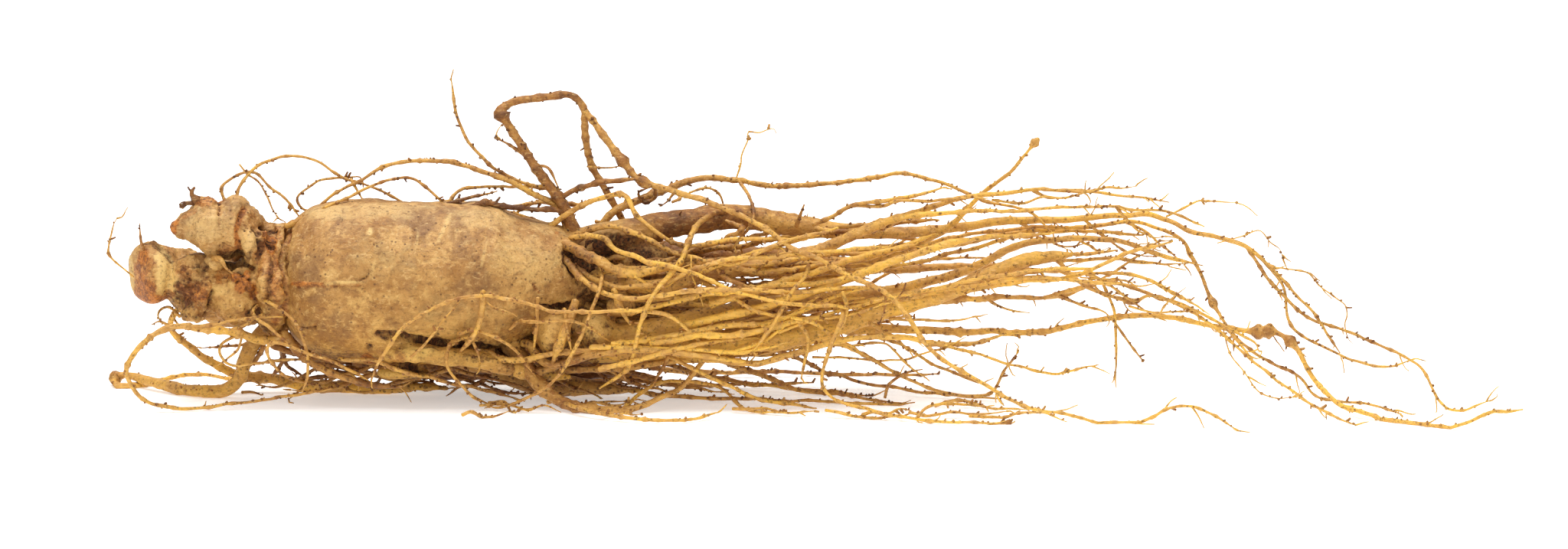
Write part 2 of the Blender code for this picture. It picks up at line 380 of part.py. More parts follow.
def swept(name, centres, radii, sides, collection):
    """A round section carried along a path, its rings turned square to it, with pointed ends."""
    tangents = np.gradient(centres, axis=0)
    tangents /= np.linalg.norm(tangents, axis=1)[:, None]
    across = np.cross(tangents, (0.0, 1.0, 0.0))
    across /= np.linalg.norm(across, axis=1)[:, None]
    other = np.cross(across, tangents)
    turn = (np.arange(sides) + 0.5) * math.tau / sides
    rings = centres[:, None, :] + radii[:, None, None] * (
        np.cos(turn)[None, :, None] * across[:, None, :] + np.sin(turn)[None, :, None] * other[:, None, :]
    )
    poles = [centres[0] - tangents[0] * radii[0] * 0.5, centres[-1] + tangents[-1] * radii[-1] * 0.7]
    points = np.vstack([rings.reshape(-1, 3), poles])
    return new_object(name, points, ring_faces(len(centres), sides), collection)


def sides_for(girth):
    """Few sides on thin roots, more on stout ones."""
    if girth < 2.1:
        return 3
    if girth < 4.5:
        return 4
    return 6


def drawn_in(centres, parent_line):
    """Move a route's first point onto its parent's line, and fade that move out along the route."""
    gaps = np.linalg.norm(parent_line - centres[0], axis=1)
    move = parent_line[np.argmin(gaps)] - centres[0]
    along = np.concatenate([[0.0], np.cumsum(np.linalg.norm(np.diff(centres, axis=0), axis=1))])
    fade = np.clip(1 - along / DRAW_IN, 0.0, 1.0) ** 1.5
    return centres + fade[:, None] * move


def make_root(name, girths, depths, side, parent_line, collection):
    centres = smooth_route(route_of(depths, side), SPACING)
    if parent_line is not None:
        centres = drawn_in(centres, parent_line)
    girth = np.maximum(evenly(girths, len(centres)), THINNEST)
    sides = sides_for(float(girth.max()))
    radii = girth * (THREE_SIDED_SHARE if sides == 3 else ROUND_SHARE)
    centres[:, 2] = np.maximum(centres[:, 2], radii + CLEARANCE)
    swept(name, centres, radii, sides, collection)
    return finer(centres)


def make_foot(name, girths, depths, side, collection):
    """A prop root: its route may dip, so that the floor cuts a flat spot under it."""
    centres = smooth_route(route_of(depths, side), FOOT_SPACING)
    girth = evenly(girths, len(centres))
    swept(name, centres, girth * ROUND_SHARE, FOOT_SIDES, collection)
    return finer(centres)


def make_barrel(collection):
    """Rings along X with three low lobes and cross furrows."""
    table = np.asarray(BARREL)
    furrow_rings = [f + shift for f in FURROWS for shift in (-1.6, 0.0, 1.6)]
    stations = np.unique(np.concatenate([table[:, 0], furrow_rings]))
    top = np.interp(stations, table[:, 0], table[:, 1])
    bottom = np.interp(stations, table[:, 0], table[:, 2])
    furrow = sum(np.exp(-(((stations - f) / FURROW_WIDTH) ** 2)) for f in FURROWS)
    radius = (top - bottom) / 2 - FURROW_DEPTH * furrow
    turn = np.arange(BARREL_SIDES) * math.tau / BARREL_SIDES
    lobes = 1 + (
        0.016 * np.sin(2 * turn[None, :] + 0.03 * stations[:, None])
        + 0.012 * np.sin(3 * turn[None, :] - 0.05 * stations[:, None] + 1.0)
        + 0.007 * np.sin(5 * turn[None, :] + 0.11 * stations[:, None])
    )
    reach = radius[:, None] * lobes
    middle = (top + bottom) / 2 / math.cos(VIEW_TILT)
    points = np.stack([
        np.broadcast_to(stations[:, None], reach.shape),
        reach * np.cos(turn)[None, :],
        middle[:, None] + reach * np.sin(turn)[None, :],
    ], axis=-1).reshape(-1, 3)
    ends = [(stations[0] - 1.0, 0, middle[0]), (stations[-1] + 1.2, 0, middle[-1])]
    faces = ring_faces(len(stations), BARREL_SIDES)
    return new_object("barrel", np.vstack([points, ends]), faces, collection)


def make_lump(name, sections, collection):
    """Oval sections lofted along X: the height and depth of each come from the side view."""
    table = np.asarray(sections)
    half = (table[:, 1] - table[:, 2]) / 2
    middle = true_height((table[:, 1] + table[:, 2]) / 2, table[:, 3])
    turn = np.arange(LUMP_SIDES) * math.tau / LUMP_SIDES
    knobbly = 1 + 0.03 * np.sin(3 * turn[None, :] + 0.5 * table[:, :1])
    points = np.stack([
        np.broadcast_to(table[:, :1], knobbly.shape),
        table[:, 3:4] + (half * table[:, 4])[:, None] * knobbly * np.cos(turn)[None, :],
        middle[:, None] + half[:, None] * knobbly * np.sin(turn)[None, :],
    ], axis=-1).reshape(-1, 3)
    lead = np.sign(table[-1, 0] - table[0, 0])
    ends = [
        (table[0, 0] - lead * 0.8, table[0, 3], middle[0]),
        (table[-1, 0] + lead * half[-1] * 0.4, table[-1, 3], middle[-1]),
    ]
    return new_object(name, np.vstack([points, ends]), ring_faces(len(table), LUMP_SIDES), collection)


def make_stub(collection):
    """The bud stub: a profile turned about its axis, with a dished scar at its end."""
    axis = np.asarray(STUB_AXIS) / np.linalg.norm(STUB_AXIS)
    across = np.cross(axis, (0.0, 0.0, 1.0))
    across /= np.linalg.norm(across)
    upright = np.cross(across, axis)
    profile = np.asarray(STUB_PROFILE)
    turn = np.arange(STUB_SIDES) * math.tau / STUB_SIDES
    foot = np.asarray(STUB_FOOT)
    rings = (
        foot + profile[:, 0][:, None, None] * axis
        + profile[:, 1][:, None, None] * (
            np.cos(turn)[None, :, None] * across + np.sin(turn)[None, :, None] * upright
        )
    )
    poles = [foot + axis * (profile[0, 0] - 0.5), foot + axis * (profile[-1, 0] - 0.2)]
    points = np.vstack([rings.reshape(-1, 3), poles])
    return new_object("stub", points, ring_faces(len(profile), STUB_SIDES), collection)


def make_knot(name, centre, diameter, collection):
    """A knot on a root: a small six-sided bead."""
    turn = np.arange(6) * math.tau / 6
    rings = []
    for along, wide in ((-0.55, 0.75), (0.1, 1.0), (0.6, 0.6)):
        rings.append(np.stack([
            centre[0] + along * diameter * 0.55 + turn * 0,
            centre[1] + wide * diameter * 0.5 * np.cos(turn),
            centre[2] + wide * diameter * 0.5 * np.sin(turn),
        ], axis=1))
    poles = [centre - (diameter * 0.45, 0, 0), centre + (diameter * 0.5, 0, 0)]
    new_object(name, np.vstack(rings + [poles]), ring_faces(3, 6), collection)


def sheaf_routes():
    """Wandering routes: a place in the bundle's oval that drifts slowly as the root runs on."""
    draw = np.random.default_rng(SHEAF_SEED)
    table = np.asarray(SHEAF)
    routes = []
    for number in range(SHEAF_COUNT):
        angle = (number + 0.5 * draw.random()) * math.tau * 0.382
        reach = 0.35 + 0.6 * draw.random()
        drift = draw.uniform(-1.0, 1.0, 4)
        last = draw.uniform(105.0, 178.0)
        x = np.arange(14.0, last, 6.0)
        u = (x - 14.0) / 165.0
        a = reach * np.cos(angle + 1.1 * drift[0] * u) + 0.16 * drift[2] * np.sin(7 * u + 6 * drift[1])
        b = reach * np.sin(angle + 1.1 * drift[0] * u) + 0.16 * drift[3] * np.sin(8 * u + 5 * drift[2])
        ease = np.clip((x - 14.0) / 12.0, 0.15, 1.0)
        part = [np.interp(x, table[:, 0], table[:, k]) for k in range(1, 5)]
        route = np.stack([x, part[0] + a * ease * part[1], part[2] + b * ease * part[3]], axis=1)
        girth = np.interp(u, (0.0, 0.2, 1.0), (2.0 + draw.random(), 1.4, 0.9))
        routes.append((f"sheaf {number + 1}", route, girth))
    return routes


def skin_material():
    """Tan skin, dry and slightly waxy."""
    material = bpy.data.materials.new("root skin")
    material.use_nodes = True
    shader = material.node_tree.nodes["Principled BSDF"]
    shader.inputs["Base Color"].default_value = (0.53, 0.35, 0.15, 1.0)
    shader.inputs["Roughness"].default_value = 0.62
    shader.inputs["Metallic"].default_value = 0.0
    return material


def boolean(thing, operation, **operand):
    cut = thing.modifiers.new(operation.lower(), "BOOLEAN")
    cut.operation = operation
    cut.solver = "MANIFOLD"
    for key, value in operand.items():
        setattr(cut, key, value)
    depsgraph = bpy.context.evaluated_depsgraph_get()
    made = bpy.data.meshes.new_from_object(thing.evaluated_get(depsgraph))
    thing.modifiers.remove(cut)
    thing.data = made


def keep_largest(mesh):
    """Keep the one outer skin: scraps and sealed hollows left by the union are dropped."""
    shape = bmesh.new()
    shape.from_mesh(mesh)
    waiting = set(shape.faces)
    skins = []
    while waiting:
        search = [waiting.pop()]
        skin = set(search)
        while search:
            face = search.pop()
            near = {other for edge in face.edges for other in edge.link_faces} & waiting
            waiting -= near
            skin |= near
            search.extend(near)
        skins.append(skin)
    skins.sort(key=len)
    spare = [face for skin in skins[:-1] for face in skin]
    bmesh.ops.delete(shape, geom=spare, context="FACES")
    shape.to_mesh(mesh)
    shape.free()


def floor_block(collection):
    """A block whose top is the floor: what it takes from the prop roots leaves their flat spots."""
    low, high = np.array((-150.0, -80.0, -10.0)), np.array((270.0, 80.0, 0.0))
    corners = [[(low, high)[(k >> axis) & 1][axis] for axis in range(3)] for k in range(8)]
    faces = [(0, 1, 3, 2), (4, 6, 7, 5), (0, 4, 5, 1), (2, 3, 7, 6), (0, 2, 6, 4), (1, 5, 7, 3)]
    return new_object("floor block", corners, faces, collection)


def build():
    remove_everything()
    scene = bpy.context.scene.collection
    regions = bpy.data.collections.new("regions")
    scene.children.link(regions)

    barrel = make_barrel(scene)
    make_lump("collar", COLLAR, regions)
    make_lump("upper knob", UPPER_KNOB, regions)
    make_lump("lower lump", LOWER_LUMP, regions)
    make_lump("back lump", BACK_LUMP, regions)
    make_stub(regions)

    lines = {}
    for name, (girths, depths, side) in LEGS.items():
        if name in FEET:
            lines[name] = make_foot(name, girths, depths, side, regions)
        else:
            lines[name] = make_root(name, girths, depths, side, None, regions)
    for name, (girths, depths, side) in ROOTLETS.items():
        parent_line = lines.get(GROWS_FROM.get(name))
        lines[name] = make_root(name, girths, depths, side, parent_line, regions)
    for name, route, girth in sheaf_routes():
        centres = smooth_route(route, SPACING)
        radii = THREE_SIDED_SHARE * np.maximum(np.interp(centres[:, 0], route[:, 0], girth), THINNEST)
        swept(name, centres, radii, 3, regions)
    for number, (root, x, seen, diameter) in enumerate(KNOTS):
        line = lines[root]
        sight = line[:, 2] * math.cos(VIEW_TILT) + line[:, 1] * math.sin(VIEW_TILT)
        nearest = line[np.argmin((line[:, 0] - x) ** 2 + (sight - seen) ** 2)].copy()
        nearest[2] = max(nearest[2], diameter / 2 + CLEARANCE)
        make_knot(f"knot {number + 1}", nearest, diameter, regions)

    barrel.name = "ginseng_root"
    barrel.data.name = "ginseng_root"
    boolean(barrel, "UNION", operand_type="COLLECTION", collection=regions)
    block = floor_block(scene)
    boolean(barrel, "DIFFERENCE", operand_type="OBJECT", object=block)
    bpy.data.objects.remove(block, do_unlink=True)
    for thing in list(regions.objects):
        bpy.data.objects.remove(thing, do_unlink=True)
    bpy.data.collections.remove(regions)

    keep_largest(barrel.data)
    barrel.data.materials.clear()
    barrel.data.materials.append(skin_material())
    barrel.data.shade_smooth()
    barrel.data.set_sharp_from_angle(angle=math.radians(50.0))


build()
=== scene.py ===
"""The looks of a fresh ginseng root: its skin, roots, rootlets and hairs, a floor, lights and a camera."""

import math

import bpy
import numpy as np
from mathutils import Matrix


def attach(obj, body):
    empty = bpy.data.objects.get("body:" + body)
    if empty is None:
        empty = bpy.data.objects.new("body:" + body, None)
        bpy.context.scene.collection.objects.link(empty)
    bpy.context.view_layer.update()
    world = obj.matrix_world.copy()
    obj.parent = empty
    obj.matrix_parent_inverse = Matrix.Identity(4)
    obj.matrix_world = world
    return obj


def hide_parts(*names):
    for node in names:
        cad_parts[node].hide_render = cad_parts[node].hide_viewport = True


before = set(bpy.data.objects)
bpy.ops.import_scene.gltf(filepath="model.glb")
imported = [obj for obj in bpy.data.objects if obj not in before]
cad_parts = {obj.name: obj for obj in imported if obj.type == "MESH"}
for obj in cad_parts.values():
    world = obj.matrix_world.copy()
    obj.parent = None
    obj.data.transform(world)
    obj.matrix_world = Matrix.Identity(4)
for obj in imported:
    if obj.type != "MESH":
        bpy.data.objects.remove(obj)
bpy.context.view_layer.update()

# Lengths are in millimetres. Heights called seen are those of the side view, tilted by VIEW_TILT.
MM = 0.001
VIEW_TILT = math.radians(10.0)

# The flat spot that the root rests on, in the frame of the side view, and the height nothing sinks below.
REST_X = 13.4
REST_Y = 4.04
FLOOR_GAP = 0.02

# The side view: 2048 pixels wide, what one of them measures, and the place of its middle.
PIXEL = 0.18
FRAME_WIDTH = 2048 * PIXEL
VIEW_MIDDLE_X = 67.3
VIEW_MIDDLE_Z = 29.4
LENS = 240.0
SENSOR = 36.0

NODE = "ginseng_root"
BODY = "root"
HEAD = "ginseng_head"
SKIN = "ginseng_skin"

# The barrel: (x, top, bottom) as seen from the side, and its broad cross furrows.
BARREL = (
    (-51.5, 35, 21), (-50.3, 38.5, 17.5), (-48.3, 41.3, 14.3), (-46, 43.2, 12.2), (-43, 45, 10.6),
    (-40, 46, 9.6), (-36, 46.6, 8.8), (-30, 47, 8.3), (-22, 46.3, 9), (-12, 46, 10.3), (-6, 46.4, 11),
    (0, 45.5, 11.6), (5, 43, 13.2), (10, 42.1, 16), (15, 41, 18.5), (20, 38.6, 21.3), (24, 35.5, 24.5),
    (26.5, 32.5, 27.5),
)
FURROWS = (-36, -27.5, -17.5, -8.5, 2.5)
# The barrel's middle height, and how far from it the strands over its back lie.
BARREL_MIDDLE = 28.0
BACK_REACH = 19.2
# Where the barrel's skin gives way to the legs, the bud's to the rhizome and the rhizome's to the collar.
BARREL_END = (15.0, 22.0)
BUD_FOOT = (-77.0, -74.5)
COLLAR_EDGE = (-56.5, -54.5)

# Lumps of the rhizome, lofted along X: (x, top, bottom, depth, width over height).
COLLAR = (
    (-58, 35.5, 22, 0, 1), (-56.3, 40.2, 17.8, 0, 1), (-54.2, 42.2, 15.6, 0, 1.02),
    (-51.8, 42.7, 14.8, 0, 1.02), (-49.5, 41.5, 15.4, 0, 1), (-47, 36, 20, 0, 1),
)
UPPER_KNOB = (
    (-52, 41, 32.5, -1, 1), (-55.5, 43.2, 33, -1.5, 1.05), (-57.5, 45.5, 33.8, -2, 1.1),
    (-61, 48.3, 33.6, -2.5, 1), (-63.2, 47.2, 33, -2.8, 0.95), (-65.4, 46.2, 33.3, -3, 0.9),
    (-67.6, 47.9, 34, -3.2, 0.92), (-71, 46, 36.8, -3.6, 0.95), (-73.6, 44.4, 38, -4, 0.95),
    (-76.3, 41.6, 39.3, -4.5, 1),
)
LOWER_LUMP = (
    (-51.5, 33, 19, -1, 1), (-55, 33.8, 18.7, -2, 1.05), (-58.5, 33.4, 17.7, -3, 1.05),
    (-62, 32, 17, -3.4, 1), (-66, 32.6, 17.6, -3.6, 0.95), (-70, 34.6, 18, -3.4, 0.95),
    (-74, 34, 19.4, -3, 0.9), (-77, 31.5, 22.6, -2.5, 0.85), (-78.8, 29, 26, -2, 0.8),
)
BACK_LUMP = (
    (-52, 36, 22, 7, 0.9), (-56, 37.5, 21, 7.5, 0.85), (-60.5, 36.5, 22.5, 7, 0.8), (-64.5, 33, 26, 6, 0.8),
)

# The bud stub is turned about its own axis, which points left and towards the viewer. Its profile ends in a
# low dome: (distance, radius).
STUB_AXIS = (-0.87, -0.5, 0.02)
STUB_FOOT = (-74.0, 3.0, 30.2)
BUD_PROFILE = (
    (-3, 4.6), (0, 5.2), (3.4, 5.3), (6.2, 6.3), (8.6, 7.3), (10.2, 7.2), (11.3, 6.4), (11.9, 5), (12.1, 3),
    (12.15, 0.8),
)
# The bud's sheath ends along part of a circle of the side view: (x, seen height, radius).
SHEATH = (-84.5, 27.5, 9.5)

# Roots: name -> (girths, depths, side points). Girths and depths are spread evenly from base to tip. Side
# points are (x, seen height).
LEGS = {
    "upper leg": ((9.6, 8.6, 6.8, 6, 5.6, 4.6, 3.2, 2.5, 2.2, 2, 1.7, 1.5, 1.3, 1.2, 1),
        (0, 3, 6, 7, 6, 2, -3), ((14, 34), (24, 37.3), (31, 38.7), (37, 40.6), (48, 42.3), (55, 42.9),
        (61, 42.5), (68, 41.1), (80, 39.7), (90, 39.3), (100, 39.7), (110, 40.8), (120, 41.9), (138, 42.7),
        (151, 43.5), (156.8, 42.3), (162.5, 39.7), (168.9, 38.2), (175.8, 35.9), (182.3, 30.7))),
    "hidden leg": ((8.4, 8, 6, 4.6, 3.4, 2.4, 1.8, 1.4, 1.1), (3, 11, 16, 19, 19, 17, 14), ((14, 31),
        (22, 33.5), (30, 34.5), (38, 34), (48, 33.5), (60, 34), (75, 33), (95, 31), (115, 31.5),
        (132, 30))),
    "speckled leg": ((6, 3.6, 3.2, 3, 3, 2.6, 2.3, 2.1, 1.8, 1.4, 1.1, 0.9),
        (-2, -10, -9, -7, -5, -4, -2, 0, 2), ((16, 27), (28, 27.3), (35, 26.7), (42, 27.5), (50, 29),
        (57, 30.8), (65, 32.5), (76, 35.3), (84, 38.8), (92, 42), (103, 45.5), (110, 47.5), (124.4, 49.2),
        (135.1, 49), (145.3, 48), (157.9, 46.4))),
    "lower leg": ((9, 7.2, 5.8, 5.2, 4.4, 3.8, 3, 2.4, 2.2, 2, 1.8, 1.5, 1.3, 1),
        (-4, -9, -9, -6, -2, 2, 2, 0, -2), ((12, 20), (20, 16), (27, 14.8), (35, 16), (42, 17.5), (52, 20),
        (60, 21.5), (67, 22.5), (76, 23.6), (85, 24.5), (98, 27), (110, 30.2), (120.6, 35.5), (133.6, 38.1),
        (146.1, 37.4), (154.1, 34.5), (164, 32.1))),
    "middle leg": ((6, 4.4, 4, 3.4, 3, 2.6, 2.2, 2, 1.9, 1.7, 1.4, 1.2), (2, 5, 8, 10, 8, 4, 0, -4),
        ((16, 25), (30, 22.6), (45, 22.7), (60, 25.7), (75, 28.5), (92, 34), (102, 38.3), (106, 40.5),
        (110, 44.2), (116.8, 50.7), (121.8, 54.9), (126.9, 61.1))),
    "blunt leg": ((10, 9, 6.8, 5.4, 5.2, 5.5, 5.8, 5.2, 4.8, 4.5, 4.2, 3.9, 3.8, 3.6, 2.6),
        (-2, -8, -12, -12, -10, -8, -8, -8, -6), ((8, 19), (18, 13.5), (28, 11.6), (40, 12), (50, 13),
        (58, 14.2), (66, 14.4), (74, 15.8), (82, 18), (90, 20.8), (98, 23), (106, 25.2), (112.3, 27.9),
        (117.6, 30.2), (123.7, 32.8), (129.8, 33.6), (134.9, 33.9))),
    "rear leg": ((7, 6, 4.6, 3.6, 2.8, 2.2, 1.8, 1.5, 1.3, 1.2, 1.1, 1, 0.9),
        (5, 13, 15, 14, 11, 8, 4, 0, -6, -12), ((14, 28), (24, 29.5), (36, 30.5), (50, 31), (64, 31),
        (78, 31.4), (90, 32), (104, 36), (117.6, 38.2), (134.7, 40.4), (148, 41.9), (155.6, 40.2),
        (160.9, 37.4), (163.2, 33.2), (165.5, 29), (167.4, 24.1), (170, 19.5), (173.5, 14.3), (177, 9.8))),
    "long leg": ((6.4, 4.6, 3.6, 3, 2.4, 2, 1.7, 1.5, 1.4, 1.3, 1.3, 1.2, 1.2, 1.1, 0.9, 0.8),
        (4, 9, 8, 5, 2, 0, -3, -6, -12, -26, -40, -34), ((12, 19), (24, 17), (45, 14.5), (60, 15),
        (75, 16.3), (88, 16.5), (103, 16.3), (117.6, 15.9), (128.2, 15.8), (140.4, 18.2), (148, 19.1),
        (157.5, 19.5), (167.8, 17.2), (178.1, 15.9), (182.7, 15.7), (187.3, 12.6), (191.1, 5.4),
        (197.2, -0.7), (204.6, -3.6), (215.1, -7.1), (225.6, -4.8), (232.4, -2.6), (239, -2.3))),
    "arch": ((3.6, 2.6, 2.1, 1.9, 1.8, 1.7, 1.6, 1.6, 1.6), (0, 2, 4, 6, 7, 8), ((19.5, 36.5), (17.1, 41.7),
        (16.4, 43.9), (14.2, 47.6), (9.7, 53.5), (6.1, 59.1), (3.8, 62.4), (0.9, 67.1), (2.3, 69),
        (4.9, 70.3), (10.5, 71.1), (17.2, 71.3), (20.1, 68.9), (20.4, 65.5), (20.8, 60.5), (21.9, 55.4),
        (25.6, 48.7), (28.9, 42.8), (30.5, 38.5))),
    "left under leg": ((4, 5, 5.2, 4.6, 4, 3.2, 2.2), (-9.5, -12.5, -13.5, -13.5, -12, -9, -8),
        ((-33, 14.5), (-27, 12.2), (-20, 11.4), (-13, 10.6), (-5, 9.6), (2, 7.6), (9, 5.8), (17, 5.2))),
    "prop root": ((8, 6.4, 5.6, 5.6, 4.8, 3, 1.8), (0, 1, 3, 4.3, 4.3, 4, 4), ((-10, 15), (-4, 10.5),
        (4, 5.4), (11, 3.05), (16, 2.95), (22, 2.9), (28, 2.6), (33, 2.2))),
    "rear prop root": ((7, 5.6, 4.6, 4.2, 3.6, 2.6, 1.8), (8, 15, 20, 22, 22, 21, 19), ((-24, 18),
        (-18, 12), (-10, 8.2), (-2, 6.5), (6, 5.8), (15, 5.4), (26, 5.1), (38, 4.6))),
    "front prop root": ((6, 4.2, 3.2, 2.8, 2.4, 1.8, 1.6, 1.4, 1.2),
        (-4, -10, -15, -18, -18.5, -17, -14, -13, -13), ((2, 15), (7, 7.5), (12, 1.6), (19, -1.8),
        (27, -2.4), (33, -1.6), (38, 0.5), (43, 3), (49, 9.3), (54, 13))),
    "hook root": ((6, 4.4, 3.4, 3, 2.9, 2.8, 2.6, 2.2, 1.8), (0, 0, 1, 2.2, 2.6, 5, 10, 15, 19), ((-51, 19),
        (-56.5, 14.5), (-59.6, 9.6), (-60.9, 5.2), (-64.2, 2.2), (-69, 1.5), (-73.5, 1.8), (-78.4, 3),
        (-82.8, 4.1), (-86.5, 5.2), (-89.3, 5.9))),
    "floor runner": ((1.6, 1.4, 1.7, 2, 2.3, 2.6, 2.9, 2.8, 2.4, 2, 1.4), (-2, 3, 7, 9, 9, 8, 6, 6),
        ((-73.5, 23.5), (-77.2, 17.5), (-72.9, 12.4), (-67, 8.3), (-61.8, 5.8), (-54.5, 5), (-47.1, 3.2),
        (-40, 2.8), (-32.4, 2.6), (-26.8, 2.6), (-20, 2.5), (-12, 2.4))),
}
